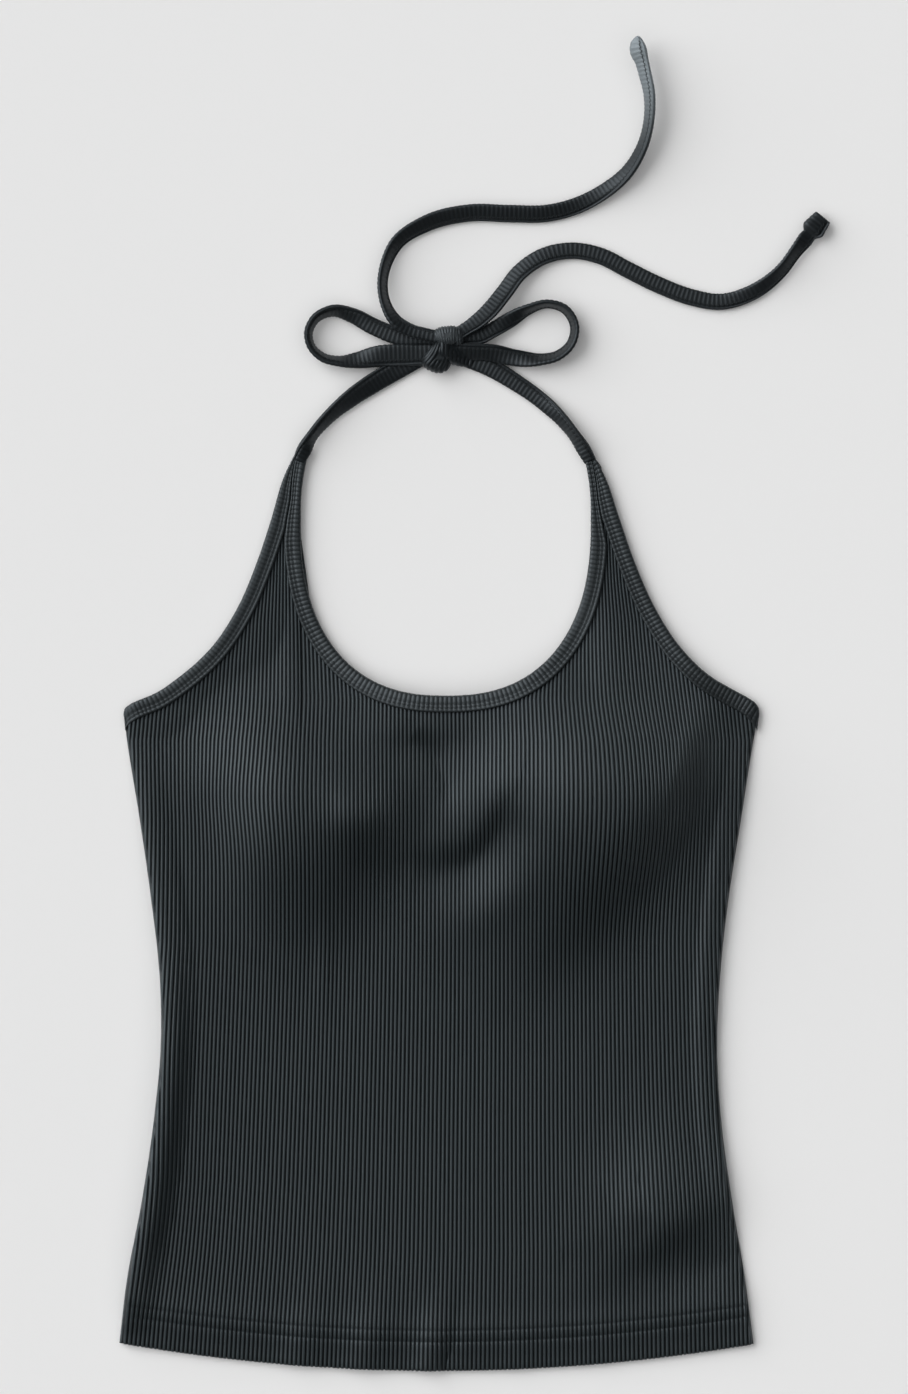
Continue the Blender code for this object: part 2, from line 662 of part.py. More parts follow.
def make_binding(name, edge, inward_turn, first, last, band, towards):
    """A strip folded over a raw edge, ribbed across its upper side."""
    fine = evenly(edge, BAND_RIB / 2)
    inward = section_directions(fine, inward_turn, first, last)
    width = free_width(fine, inward, band, towards)
    panel_under = WALL + SEAM
    panel_over = panel_under + WALL + RIB_HEIGHT
    top = panel_over + SEAM + BAND_TOP
    count = len(fine)
    coarse = sorted(set(range(0, count, 2 * RIBS_PER_PANEL)) | {count - 1})

    def row(inset, height):
        points = []
        for i in coarse:
            x, y = fine[i] + inward[i] * min(inset, width[i])
            points.append((x, y, height + lift(x, y)))
        return points

    def ribbed_row(insets):
        points = []
        for i, inset in enumerate(insets):
            x, y = fine[i] + inward[i] * inset
            rib = BAND_RIB_HEIGHT if i % 2 == 1 else 0.0
            points.append((x, y, top + rib + lift(x, y)))
        return points

    ribbed = [ribbed_row(np.full(count, BAND_ROUND)), ribbed_row(width - BAND_LIP)]
    plain = [
        row(band, top - BAND_LIP),
        row(band, panel_over + SEAM),
        row(WALL, panel_over + SEAM),
        row(WALL, panel_under - SEAM),
        row(BAND_UNDER, panel_under - SEAM),
        row(BAND_UNDER, 0.0),
        row(BAND_ROUND, 0.0),
        row(0.0, BAND_ROUND),
        row(0.0, top - BAND_ROUND),
    ]
    places = [range(count)] * len(ribbed) + [coarse] * len(plain)
    return skin_round(name, ribbed + plain, places)


def make_back_binding():
    """The same strip across the top of the back, pressed flat under the front."""
    shares = np.linspace(-1, 1, 25)
    lower_edge, upper_edge = [], []
    for share in shares:
        x = across(share, UNDERARM_Y)
        top = back_top_y(x)
        lower_edge.append((across(share, top - BACK_BAND), top - BACK_BAND))
        upper_edge.append((across(share, top), top))
    rows = [
        [(x, y, 0.0) for x, y in lower_edge],
        [(x, y, WALL) for x, y in lower_edge],
        [(x, y, WALL) for x, y in upper_edge],
        [(x, y, 0.0) for x, y in upper_edge],
    ]
    return skin_round("back_binding", rows, [shares] * len(rows))


# --- ties and knot --------------------------------------------------------------------------

def knot_outline_distance(place, direction, x, y, half_width, half_length, turn):
    """Distance along a direction to one strand's outline, widened by its clearance."""
    angle = math.radians(turn)
    spin = np.array([[math.cos(angle), math.sin(angle)], [-math.sin(angle), math.cos(angle)]])
    size = np.array([half_width + KNOT_CLEAR, half_length + KNOT_CLEAR])
    start = spin @ (np.array(place) - np.array([x, y])) / size
    step = spin @ np.array(direction) / size
    a, b, c = step @ step, 2 * start @ step, start @ start - 1
    inside = b * b - 4 * a * c
    return (-b - math.sqrt(inside)) / (2 * a) if inside > 0 else None


def to_knot(point, direction):
    """Carry a point of a tie's end on, level, to the side of the knot."""
    flat = np.array(direction[:2]) / np.linalg.norm(direction[:2])
    reaches = []
    for x, y, _, half_width, half_length, _, turn in KNOT:
        reach = knot_outline_distance(point[:2], flat, x, y, half_width, half_length, turn)
        if reach is not None and reach > 0:
            reaches.append(reach)
    travel = min(reaches) if reaches else 0.0
    return np.array([point[0] + flat[0] * travel, point[1] + flat[1] * travel, point[2]])


def to_point(point, direction):
    """Carry a point of a strap's end on to the level line where the bindings end."""
    travel = (POINT_Y + SEAM - point[1]) / direction[1]
    return np.array([point[0] + direction[0] * travel, POINT_Y + SEAM, point[2]])


def unchanged(point, direction):
    """Leave a free end as it is."""
    return point


def make_tie(name, rows, start, end):
    """A flat strip along a smooth route, its ends shaped to what they meet."""
    route = evenly(smooth(rows), TIE_STEP, TIE_BEND)
    along = np.gradient(route[:, :3], axis=0)
    along /= np.linalg.norm(along, axis=1)[:, None]
    sections = []
    for k, (x, y, z, width, thick, tilt) in enumerate(route):
        level = np.array([-along[k][1], along[k][0], 0.0])
        level /= np.linalg.norm(level)
        upright = np.cross(along[k], level)
        angle = math.radians(tilt)
        side = level * math.cos(angle) + upright * math.sin(angle)
        face = upright * math.cos(angle) - level * math.sin(angle)
        half, deep, corner = width / 2, thick / 2, TIE_CORNER
        outline = [
            (half, deep - corner), (half - corner, deep), (0.0, deep),
            (corner - half, deep), (-half, deep - corner),
            (-half, corner - deep), (corner - half, -deep),
            (0.0, -deep), (half - corner, -deep), (half, corner - deep),
        ]
        centre = np.array([x, y, z])
        sections.append([centre + side * u + face * v for u, v in outline])
    sections[0] = [start(point, -along[0]) for point in sections[0]]
    sections[-1] = [end(point, along[-1]) for point in sections[-1]]
    rows = [list(row) for row in zip(*sections)]
    return skin_round(name, rows, [range(len(sections))] * len(rows), thin_ends=True)


def knot_strand(x, y, z, half_width, half_length, half_height, turn):
    """One strand of the knot: a ball flattened to a pillow."""
    angle = math.radians(turn)
    points = []
    for ring in range(1, KNOT_RINGS):
        up = math.pi * (ring / KNOT_RINGS - 0.5)
        out = math.cos(up) ** KNOT_SQUARENESS
        for k in range(KNOT_SIDES):
            round_about = 2 * math.pi * k / KNOT_SIDES
            u = half_width * out * math.cos(round_about)
            v = half_length * out * math.sin(round_about)
            points.append((
                x + u * math.cos(angle) - v * math.sin(angle),
                y + u * math.sin(angle) + v * math.cos(angle),
                z + half_height * math.sin(up),
            ))
    rings = KNOT_RINGS - 1
    faces = [tuple(range(KNOT_SIDES)), tuple(range((rings - 1) * KNOT_SIDES, rings * KNOT_SIDES))]
    for ring in range(rings - 1):
        for k in range(KNOT_SIDES):
            a = ring * KNOT_SIDES + k
            b = ring * KNOT_SIDES + (k + 1) % KNOT_SIDES
            faces.append((a, b, b + KNOT_SIDES, a + KNOT_SIDES))
    return points, faces


def make_knot():
    """Knot: its strands joined to one solid."""
    knot = add_object("knot", *knot_strand(*KNOT[0]))
    for number, row in enumerate(KNOT[1:], start=2):
        strand = add_object("knot_strand_" + str(number), *knot_strand(*row))
        strand.hide_render = True
        strand.display_type = "WIRE"
        union = knot.modifiers.new(strand.name, "BOOLEAN")
        union.operation = "UNION"
        union.solver = "EXACT"
        union.object = strand
    return knot


# --- the whole top --------------------------------------------------------------------------

for old in list(bpy.data.objects):
    bpy.data.objects.remove(old, do_unlink=True)

make_front()
make_back()
make_binding("neck_binding", neck_edge(), -1, (-1, 0), (1, 0), NECK_BAND, 1)
make_binding("armhole_binding_left", arm_edge(-1), -1, (0.1, -1), (1, 0), ARM_BAND, -1)
make_binding("armhole_binding_right", arm_edge(1), 1, (-0.1, -1), (-1, 0), ARM_BAND, -1)
make_back_binding()
make_tie("strap_left", STRAP_LEFT, to_knot, to_point)
make_tie("strap_right", STRAP_RIGHT, to_knot, to_point)
make_tie("bow_loop_left", BOW_LOOP_LEFT, to_knot, to_knot)
make_tie("bow_loop_right", BOW_LOOP_RIGHT, to_knot, to_knot)
make_tie("tail_left", TAIL_LEFT, to_knot, unchanged)
make_tie("tail_right", TAIL_RIGHT, to_knot, unchanged)
make_knot()
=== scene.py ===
import math

import bmesh
import bpy
import numpy as np
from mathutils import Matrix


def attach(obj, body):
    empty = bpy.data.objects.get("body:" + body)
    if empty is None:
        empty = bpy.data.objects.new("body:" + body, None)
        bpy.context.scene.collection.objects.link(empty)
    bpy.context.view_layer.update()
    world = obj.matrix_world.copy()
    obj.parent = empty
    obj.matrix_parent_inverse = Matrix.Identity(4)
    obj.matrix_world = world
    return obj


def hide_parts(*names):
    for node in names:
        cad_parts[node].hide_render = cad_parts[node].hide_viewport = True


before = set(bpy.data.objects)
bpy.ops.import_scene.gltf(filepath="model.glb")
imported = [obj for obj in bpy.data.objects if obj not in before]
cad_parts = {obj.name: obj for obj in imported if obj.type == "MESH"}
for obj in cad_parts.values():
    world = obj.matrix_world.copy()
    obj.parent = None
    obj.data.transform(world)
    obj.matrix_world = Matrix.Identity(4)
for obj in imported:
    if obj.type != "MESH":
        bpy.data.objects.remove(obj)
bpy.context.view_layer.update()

# === Table, light and camera ================================================================
# The top lies on a pale matt board. A wide soft lamp stands at the upper left with a screen
# by it, the room round them is white, and the top is seen from straight above.

MM = 0.001              # the model is in metres, and the tables below are in millimetres
TABLE_HEX = "#e7e7e7"
TABLE_HALF = 3000.0
TABLE_DROP = 0.05       # how far the board's face lies below the cloth
LAMPS = (
    # name, from where, strength, degrees covered, whether it lights, whether it glints
    ("soft lamp", (-0.80, 0.40, 0.45), 3.5, 68.0, True, False),
    ("lamp screen", (-0.69, 0.37, 0.64), 2.5, 60.0, False, True),
    ("white wall", (-0.80, 0.20, 0.60), 0.3, 125.0, True, True),
    ("matt ceiling", (0.0, 0.0, 1.0), 1.1, 110.0, True, False),
)
ROOM_STRENGTH = 0.06
VIEW_X, VIEW_Y = 8.775, 200.7
VIEW_HEIGHT = 4000.0
VIEW_LENGTH = 815.5     # how much of the table the long side of the picture shows
VIEW_END = 20000.0
FILM = 36.0


def linear(hex_colour):
    """Turn an sRGB hex colour to linear RGBA."""
    parts = [int(hex_colour[k:k + 2], 16) / 255 for k in (1, 3, 5)]
    flat = [p / 12.92 if p <= 0.04045 else ((p + 0.055) / 1.055) ** 2.4 for p in parts]
    return (*flat, 1.0)


def add_node(tree, kind, settings=(), sockets=(), links=()):
    """Add a node with its settings, its plain socket values and what is linked into it.

    A link is another node's output, or the other node itself for its first output.
    """
    node = tree.nodes.new(kind)
    for key, value in dict(settings).items():
        setattr(node, key, value)
    for key, value in dict(sockets).items():
        node.inputs[key].default_value = value
    for key, source in dict(links).items():
        tree.links.new(getattr(source, "outputs", [source])[0], node.inputs[key])
    return node


def new_material(name, values):
    """Start a material, with plain values on its shader's sockets."""
    material = bpy.data.materials.new(name)
    material.use_nodes = True
    shader = material.node_tree.nodes["Principled BSDF"]
    for key, value in values.items():
        shader.inputs[key].default_value = value
    return material, material.node_tree, shader


def new_piece(name, points, faces):
    """Make an object from points in millimetres."""
    mesh = bpy.data.meshes.new(name)
    mesh.from_pydata(np.asarray(points) * MM, [], faces)
    piece = bpy.data.objects.new(name, mesh)
    bpy.context.scene.collection.objects.link(piece)
    return piece


table = new_piece("table", [
    (TABLE_HALF * x, TABLE_HALF * y, -TABLE_DROP)
    for x, y in ((-1, -1), (1, -1), (1, 1), (-1, 1))], [(0, 1, 2, 3)])

# Painted board: matt, all but even, with a faint tooth.
board, board_tree, board_shader = new_material("painted board", {
    "Base Color": linear(TABLE_HEX), "Roughness": 0.85, "Specular IOR Level": 0.2})
board_place = add_node(board_tree, "ShaderNodeTexCoord")
board_tooth = add_node(
    board_tree, "ShaderNodeTexNoise", sockets={"Scale": 900.0, "Detail": 2.0},
    links={"Vector": board_place.outputs["Object"]})
board_bump = add_node(
    board_tree, "ShaderNodeBump", sockets={"Strength": 0.05, "Distance": 0.0002},
    links={"Height": board_tooth})
board_tree.links.new(board_bump.outputs["Normal"], board_shader.inputs["Normal"])
table.data.materials.append(board)

room = bpy.data.worlds.new("white room")
room.use_nodes = True
room_light = room.node_tree.nodes["Background"]
room_light.inputs["Color"].default_value = (1.0, 1.0, 1.0, 1.0)
room_light.inputs["Strength"].default_value = ROOM_STRENGTH
bpy.context.scene.world = room

for lamp_name, lamp_from, strength, spread, lights, glints in LAMPS:
    lamp = bpy.data.objects.new(lamp_name, bpy.data.lights.new(lamp_name, "SUN"))
    lamp.data.energy = strength
    lamp.data.angle = math.radians(spread)
    lamp.visible_diffuse = lights
    lamp.visible_glossy = glints
    lamp.rotation_euler = (
        math.acos(lamp_from[2] / math.hypot(*lamp_from)),
        0.0,
        math.atan2(lamp_from[1], lamp_from[0]) + math.pi / 2,
    )
    bpy.context.scene.collection.objects.link(lamp)

camera = bpy.data.objects.new("camera", bpy.data.cameras.new("camera"))
camera.data.sensor_width = FILM
camera.data.lens = FILM * VIEW_HEIGHT / VIEW_LENGTH
camera.data.clip_end = VIEW_END * MM
camera.location = (VIEW_X * MM, VIEW_Y * MM, VIEW_HEIGHT * MM)
bpy.context.scene.collection.objects.link(camera)
bpy.context.scene.camera = camera
bpy.context.scene.view_settings.view_transform = "Standard"


# === Back ===================================================================================
# One piece of cotton rib knit, cut straight across under the arms, its hem turned up. It lies
# face down on the table, so its ribs are pressed level and only their grooves stand off it.

WALL = 1.4              # thickness of the knit
HEM_DEPTH = 24.0
HEM_STEP = 9.0          # height over which the turned-up layer thins out
HEM_EXTRA = 0.4         # how much it adds to the thickness
EDGE_ROLL = 2.5         # how far in from a side seam the cloth rounds over
EDGE_LEFT = 0.35        # share of its thickness left at the seam
SEAM_CLEAR = 0.25       # least distance of a rib's points from a side seam
SIDES = (
    # y, left, right
    (-178, 187, 184), (-140, 182.5, 179), (-94, 173.8, 171.4), (-47, 166.8, 165),
    (0, 162.6, 162.6), (35, 163.2, 164.2), (82, 168.3, 169.2), (129, 175, 176.6),
    (176, 182.5, 184), (192, 184.5, 187),
)
UNDERARM_Y = 192.0
HEM_Y = -193.0          # hem at the centre line
HEM_RISE = 15.5         # how much higher it is at the side seams
HEM_HALF_WIDTH = 184.0
BACK_TOP_Y = 184.0      # bound top edge at the centre line
BACK_TOP_RISE = 4.0
BACK_BAND = 9.5
RIB_PARTS = (0.13, 0.26, 0.34, 0.66, 0.74, 0.87)    # where one rib's points stand across it
RIB_CREST = 0.22        # distance from a rib's middle at which it begins to round over
RIB_FOOT = 0.38         # distance from its middle at which it has reached the groove
RIBS = (
    # y, centre, pitch
    (-193, -1.2, 2.57), (-164, -0.7, 2.545), (-123, 0.5, 2.50), (-82, 1, 2.455),
    (-47, 1.4, 2.43), (-12, 1.9, 2.41), (23, 2.3, 2.39), (58, 2.6, 2.37), (129, 2.9, 2.365),
    (175, 2.9, 2.38), (199, 2.7, 2.35),
)
RIB_REACH = 82          # number of the outermost rib, counted from the centre line


def column(table_rows, heading, at):
    """Read a column of a table whose first column is height, between its rows."""
    rows = np.array(table_rows)
    return np.interp(at, rows[:, 0], rows[:, heading])


def travel(points):
    """Steps from each point to the next, and how far along each point is."""
    spans = np.linalg.norm(np.diff(points, axis=0), axis=1)
    return spans, np.concatenate(([0.0], np.cumsum(spans)))


def smooth(rows, steps=16):
    """Run a smooth curve through the rows, all of their columns alike."""
    rows = np.array(rows)
    spans, along = travel(rows[:, :2])
    slopes = np.gradient(rows, along, axis=0)
    curve = []
    for i, span in enumerate(spans):
        for u in np.arange(steps) / steps:
            start = (1 + 2 * u) * (1 - u) ** 2 * rows[i] + u * (1 - u) ** 2 * span * slopes[i]
            end = u * u * (3 - 2 * u) * rows[i + 1] - u * u * (1 - u) * span * slopes[i + 1]
            curve.append(start + end)
    curve.append(rows[-1])
    return np.array(curve)


def fade(value):
    """Rise smoothly from 0 at 0 to 1 at 1."""
    value = np.clip(value, 0.0, 1.0)
    return value * value * (3 - 2 * value)


SIDE_CURVE = smooth(SIDES)


def side_edges(y):
    """Distances of the left and right side seams from the centre line at a height."""
    height = np.minimum(y, UNDERARM_Y)
    return [np.interp(height, SIDE_CURVE[:, 0], SIDE_CURVE[:, k]) for k in (1, 2)]


def from_side(x, y):
    """Distance in from the nearer side seam."""
    left, right = side_edges(y)
    return np.maximum(0.0, np.minimum(x + left, right - x))


def hem_y(x):
    """Height of the hem's edge."""
    return HEM_Y + HEM_RISE * (x / HEM_HALF_WIDTH) ** 2


def back_top_y(x):
    """Height of the back's bound top edge."""
    return BACK_TOP_Y + BACK_TOP_RISE * (x / HEM_HALF_WIDTH) ** 2


def hem_layer(x, y):
    """Extra thickness where the hem is turned up."""
    up = y - hem_y(x)
    return HEM_EXTRA * np.clip((HEM_DEPTH + HEM_STEP - up) / HEM_STEP, 0.0, 1.0)


def rounded(x, y):
    """Share of the cloth's thickness left as it rounds over to a side seam."""
    inward = np.minimum(1.0, from_side(x, y) / EDGE_ROLL)
    return EDGE_LEFT + (1 - EDGE_LEFT) * np.sqrt(1 - (1 - inward) ** 2)


def straight_rib_x(rib, y):
    """Where a rib of the plain cloth runs: a whole number is the groove between two ribs."""
    return column(RIBS, 1, y) + column(RIBS, 2, y) * rib


def straight_rib_at(x, y):
    """Number of the rib that runs through a place of the plain cloth."""
    return (x - column(RIBS, 1, y)) / column(RIBS, 2, y)


def cloth_rows(heights_at, rib_x, rib_at):
    """Rows of (rib, x, y) up a panel of the body, each from seam to seam, at every rib part."""
    numbers = (np.arange(-RIB_REACH, RIB_REACH)[:, None] + np.array(RIB_PARTS)).ravel()
    rib_heights = np.array([heights_at(lambda y, n=n: rib_x(n, y)) for n in numbers]).T
    seam_rows = []
    for edge, side in enumerate((-1, 1)):
        def seam_x(y, edge=edge, side=side):
            return side * side_edges(y)[edge]
        heights = heights_at(seam_x)
        seam_rows.append([(float(rib_at(seam_x(y), y)), float(seam_x(y)), y) for y in heights])
    rows = []
    for r, heights in enumerate(rib_heights):
        x = rib_x(numbers, heights)
        left, right = side_edges(heights)
        inside = (x > SEAM_CLEAR - left) & (x < right - SEAM_CLEAR)
        between = np.stack([numbers[inside], x[inside], heights[inside]], axis=1)
        rows.append(np.vstack([seam_rows[0][r], between, seam_rows[1][r]]))
    return rows


def thinned_row(row, every):
    """Keep a few ribs of a row, for a side that is plain."""
    kept = np.mod(row[:, 0] - RIB_PARTS[0] + 0.01, every) < 0.02
    kept[[0, -1]] = True
    return row[kept]


def join_rows(faces, first, second, first_at, second_at):
    """Fill the band between two rows of vertices that stand at the given places along it."""
    i, j = 0, 0
    while i < len(first) - 1 or j < len(second) - 1:
        second_done = j == len(second) - 1
        if second_done or (i < len(first) - 1 and first_at[i + 1] <= second_at[j + 1]):
            faces.append((first[i], first[i + 1], second[j]))
            i += 1
        else:
            faces.append((first[i], second[j + 1], second[j]))
            j += 1


def add_numbers(piece, numbers):
    """Give each point of a piece its numbers, each list under its heading."""
    for heading, values in numbers.items():
        layer = piece.data.attributes.new(heading, "FLOAT", "POINT")
        layer.data.foreach_set("value", np.array(values, np.float32))


def skin_round(name, rows, places, numbers):
    """Close a piece round rows of points listed in order round its section.

    Numbers gives each point its rib, its way along the rib and how far its rib stands out.
    """
    firsts = np.concatenate(([0], np.cumsum([len(row) for row in rows]))).astype(int)
    index = [range(firsts[k], firsts[k + 1]) for k in range(len(rows))]
    faces = []
    for k in range(len(rows)):
        following = (k + 1) % len(rows)
        join_rows(faces, index[k], index[following], places[k], places[following])
    for end in (0, -1):
        corners = [row[end] for row in index]
        for k in range(len(rows) // 2 - 1):
            faces.append((corners[k], corners[k + 1], corners[-k - 2], corners[-k - 1]))
    piece = new_piece(name, np.vstack(rows), faces)
    work = bmesh.new()
    work.from_mesh(piece.data)
    bmesh.ops.recalc_face_normals(work, faces=work.faces)
    work.to_mesh(piece.data)
    work.free()
    add_numbers(piece, {heading: np.concatenate(values) for heading, values in numbers.items()})
    piece.data.shade_smooth()
    return piece


def new_tree(name, inputs, output):
    """Start a Geometry Nodes tree with named inputs and one output of geometry."""
    tree = bpy.data.node_groups.new(name, "GeometryNodeTree")
    for heading, kind in inputs.items():
        tree.interface.new_socket(heading, in_out="INPUT", socket_type="NodeSocket" + kind)
    tree.interface.new_socket(output, in_out="OUTPUT", socket_type="NodeSocketGeometry")
    return tree, add_node(tree, "NodeGroupInput").outputs


def read_numbers(tree, kind, *headings):
    """Nodes that read a piece's own numbers, or its directions, by their headings."""
    return [add_node(
        tree, "GeometryNodeInputNamedAttribute", {"data_type": kind}, {"Name": heading})
        for heading in headings]


def end_tree(tree, geometry, material):
    """End a tree: its instances are made real and dressed in their material."""
    real = add_node(tree, "GeometryNodeRealizeInstances", links={"Geometry": geometry})
    dressed = add_node(
        tree, "GeometryNodeSetMaterial", links={"Geometry": real, "Material": material})
    add_node(tree, "NodeGroupOutput", links={0: dressed})


def from_middle(tree, rib):
    """Distance from the middle of a rib, as a share of the pitch."""
    part = add_node(tree, "ShaderNodeMath", {"operation": "FRACT"}, links={0: rib})
    centred = add_node(tree, "ShaderNodeMath", {"operation": "SUBTRACT"}, {1: 0.5}, {0: part})
    return add_node(tree, "ShaderNodeMath", {"operation": "ABSOLUTE"}, links={0: centred})


def rib_tree():
    """Geometry Nodes that raise the ribs, and sink their grooves, along the cloth's normals."""
    tree, given = new_tree("raise ribs", {
        "Cloth": "Geometry", "Rib height": "Float", "Crest": "Float", "Foot": "Float",
        "Level": "Float", "Knit": "Material"}, "Cloth")
    rib, relief = read_numbers(tree, "FLOAT", "rib", "relief")
    raised = add_node(
        tree, "ShaderNodeMapRange", {"interpolation_type": "SMOOTHSTEP"},
        {"To Min": 1.0, "To Max": 0.0},
        {"Value": from_middle(tree, rib), "From Min": given["Crest"],
         "From Max": given["Foot"]})
    for operation, by in (
        ("SUBTRACT", given["Level"]), ("MULTIPLY", relief), ("MULTIPLY", given["Rib height"]),
    ):
        raised = add_node(
            tree, "ShaderNodeMath", {"operation": operation}, links={0: raised, 1: by})
    normal = add_node(tree, "GeometryNodeInputNormal")
    offset = add_node(
        tree, "ShaderNodeVectorMath", {"operation": "SCALE"},
        links={0: normal, "Scale": raised})
    moved = add_node(
        tree, "GeometryNodeSetPosition", links={"Geometry": given["Cloth"], "Offset": offset})
    end_tree(tree, moved, given["Knit"])
    return tree


RIB_TREE = rib_tree()


def apply_tree(piece, tree, values):
    """Put a piece through a tree with the given inputs, and keep the result as its mesh."""
    modifier = piece.modifiers.new(tree.name, "NODES")
    modifier.node_group = tree
    for item in tree.interface.items_tree:
        if item.in_out == "INPUT" and item.name in values:
            modifier[item.identifier] = values[item.name]
    seen = piece.evaluated_get(bpy.context.evaluated_depsgraph_get())
    made = bpy.data.meshes.new_from_object(seen)
    made.name = piece.name
    piece.modifiers.clear()
    piece.data = made
    piece.data.shade_smooth()


def raise_ribs(piece, height, crest, foot, level, knit):
    """Put a piece's ribs on it, or with level 1 sink its grooves, and dress it in its knit."""
    apply_tree(piece, RIB_TREE, {
        "Rib height": height * MM, "Crest": crest, "Foot": foot, "Level": level, "Knit": knit})


STITCH_SLANT = 1.1      # how far the legs of a knit stitch slant, against its height


def rib_knit(name, yarn_hex, groove_shade_hex, crest, foot, stitch, painted_highlight_hex="#3a4043", gloss=0.85):
    """Cotton rib knit: matt, with a short nap that lights up, and dark between its ribs.

    A rib has its yarn's colour up to crest from its middle, and from foot on it goes over to a
    darker colour: painted shade in its grooves. Stitch is the height of one knit stitch in
    millimetres: rows of small V shapes run up each rib. The painted highlight attribute fades
    it
    to a paler colour: a painted highlight where a strand turns up to the light.
    """
    knit, tree, shader = new_material(name, {
        "Roughness": 0.5, "Specular IOR Level": gloss, "Specular Tint": linear("#dbe6ee"),
        "Sheen Weight": 0.04, "Sheen Roughness": 0.45, "Sheen Tint": linear("#c9d2d8")})
    place = add_node(tree, "ShaderNodeTexCoord")
    rib, along, painted_highlight = (
        add_node(tree, "ShaderNodeAttribute", {"attribute_name": heading}).outputs["Fac"]
        for heading in ("rib", "along", "painted_highlight"))
    distance = from_middle(tree, rib)
    on_crest = add_node(
        tree, "ShaderNodeMapRange", {"interpolation_type": "SMOOTHSTEP"},
        {"From Min": crest, "From Max": foot, "To Min": 1.0, "To Max": 0.0},
        {"Value": distance})
    # The dye takes a little unevenly over some 20 mm, and the nap is drawn about 0.6 mm wide,
    # which is as fine as shows.
    patches = []
    for scale, detail, least, most in ((45.0, 3.0, 0.86, 1.14), (1600.0, 2.0, 0.9, 1.1)):
        nap = add_node(
            tree, "ShaderNodeTexNoise", sockets={"Scale": scale, "Detail": detail},
            links={"Vector": place.outputs["Object"]})
        patches.append(add_node(
            tree, "ShaderNodeMapRange", sockets={"To Min": least, "To Max": most},
            links={"Value": nap}))
    mottle = add_node(
        tree, "ShaderNodeMath", {"operation": "MULTIPLY"}, links=dict(enumerate(patches)))
    # Painted shade: the grooves between the ribs take the darker colour, standing for the shade
    # that falls in them.
    yarn_with_groove_shade = add_node(
        tree, "ShaderNodeMix", {"data_type": "RGBA"},
        {6: linear(groove_shade_hex), 7: linear(yarn_hex)}, {0: on_crest})
    # Painted highlight: where its number rises, the knit goes over to a paler colour, as where
    # a strand turns up to the light.
    with_painted_highlight = add_node(
        tree, "ShaderNodeMix", {"data_type": "RGBA"}, {7: linear(painted_highlight_hex)},
        {0: painted_highlight, 6: yarn_with_groove_shade.outputs[2]})
    colour = add_node(
        tree, "ShaderNodeVectorMath", {"operation": "SCALE"},
        links={0: with_painted_highlight.outputs[2], "Scale": mottle})
    tree.links.new(colour.outputs[0], shader.inputs["Base Color"])
    leg = add_node(
        tree, "ShaderNodeMath", {"operation": "MULTIPLY"}, {1: STITCH_SLANT}, {0: distance})
    course = add_node(
        tree, "ShaderNodeMath", {"operation": "MULTIPLY_ADD"}, {1: 1.0 / stitch},
        {0: along, 2: leg})
    wave = add_node(tree, "ShaderNodeMath", {"operation": "PINGPONG"}, {1: 0.5}, {0: course})
    height = add_node(
        tree, "ShaderNodeMath", {"operation": "MULTIPLY_ADD"}, {1: 0.5}, {0: nap, 2: wave})
    bump = add_node(
        tree, "ShaderNodeBump", sockets={"Strength": 0.05, "Distance": 0.0002},
        links={"Height": height})
    tree.links.new(bump.outputs["Normal"], shader.inputs["Normal"])
    return knit


BODY_KNIT = rib_knit("cotton rib knit, body", "#21282a", "#030404", 0.22, 0.37, 1.5)
BODY_RIB_HEIGHT = 1.35
BACK_GROOVE = 0.45
BACK_RISES = (0.0, 0.3, 1.0, 12.0, 24.0, 25.5)      # first rows above the hem's edge
BACK_ROWS = 21          # rows from there to the binding
BINDING_ROOM = 0.3
BACK_TURNS = (0.5, 0.2)         # how much the edge's first rows turn in, for the back
PLAIN_RIBS = 6          # ribs from point to point on its plain side


def panel(name, upper, lower, height, level):
    """Close a panel of the body from its rows of (rib, x, y, z, how far its rib stands out)."""
    rows = upper + lower[::-1]
    ribs = [row[0] for row in rows]
    piece = skin_round(name, [np.stack(row[1:4], axis=1) for row in rows], ribs, {
        "rib": ribs, "along": [row[2] for row in rows], "relief": [row[4] for row in rows]})
    raise_ribs(piece, height, RIB_CREST, RIB_FOOT, level, BODY_KNIT)
    return piece


def back_heights(place_at):
    """Heights of one line of the back's points, from the hem to the binding."""
    foot = hem_y(float(place_at(HEM_Y)))
    top = back_top_y(float(place_at(UNDERARM_Y))) - BACK_BAND - BINDING_ROOM
    rises = [foot + rise for rise in BACK_RISES]
    return rises + list(np.linspace(rises[-1], top, BACK_ROWS + 1)[1:])


upper, lower = [], []
for k, row in enumerate(cloth_rows(back_heights, straight_rib_x, straight_rib_at)):
    turned = BACK_TURNS[k] if k < len(BACK_TURNS) else 0.0
    rib, x, y = row.T
    z = (WALL + hem_layer(x, y)) * np.maximum(1 - rounded(x, y), turned)
    lower.append((rib, x, y, z, fade(from_side(x, y) / EDGE_ROLL) * (turned == 0)))
    rib, x, y = thinned_row(row, PLAIN_RIBS).T
    upper.append((rib, x, y, (WALL + hem_layer(x, y)) * (1 - 0.5 * turned), 0 * rib))
back = panel("back", upper, lower, BACK_GROOVE, 1.0)
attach(back, "root")
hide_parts("back_panel")


# === Front ==================================================================================
# One piece of the same knit, its ribs running up it and gathering towards the two points. It
# is shaped over the bust by wear, rolls over at the side seams and flutes a little at the hem.

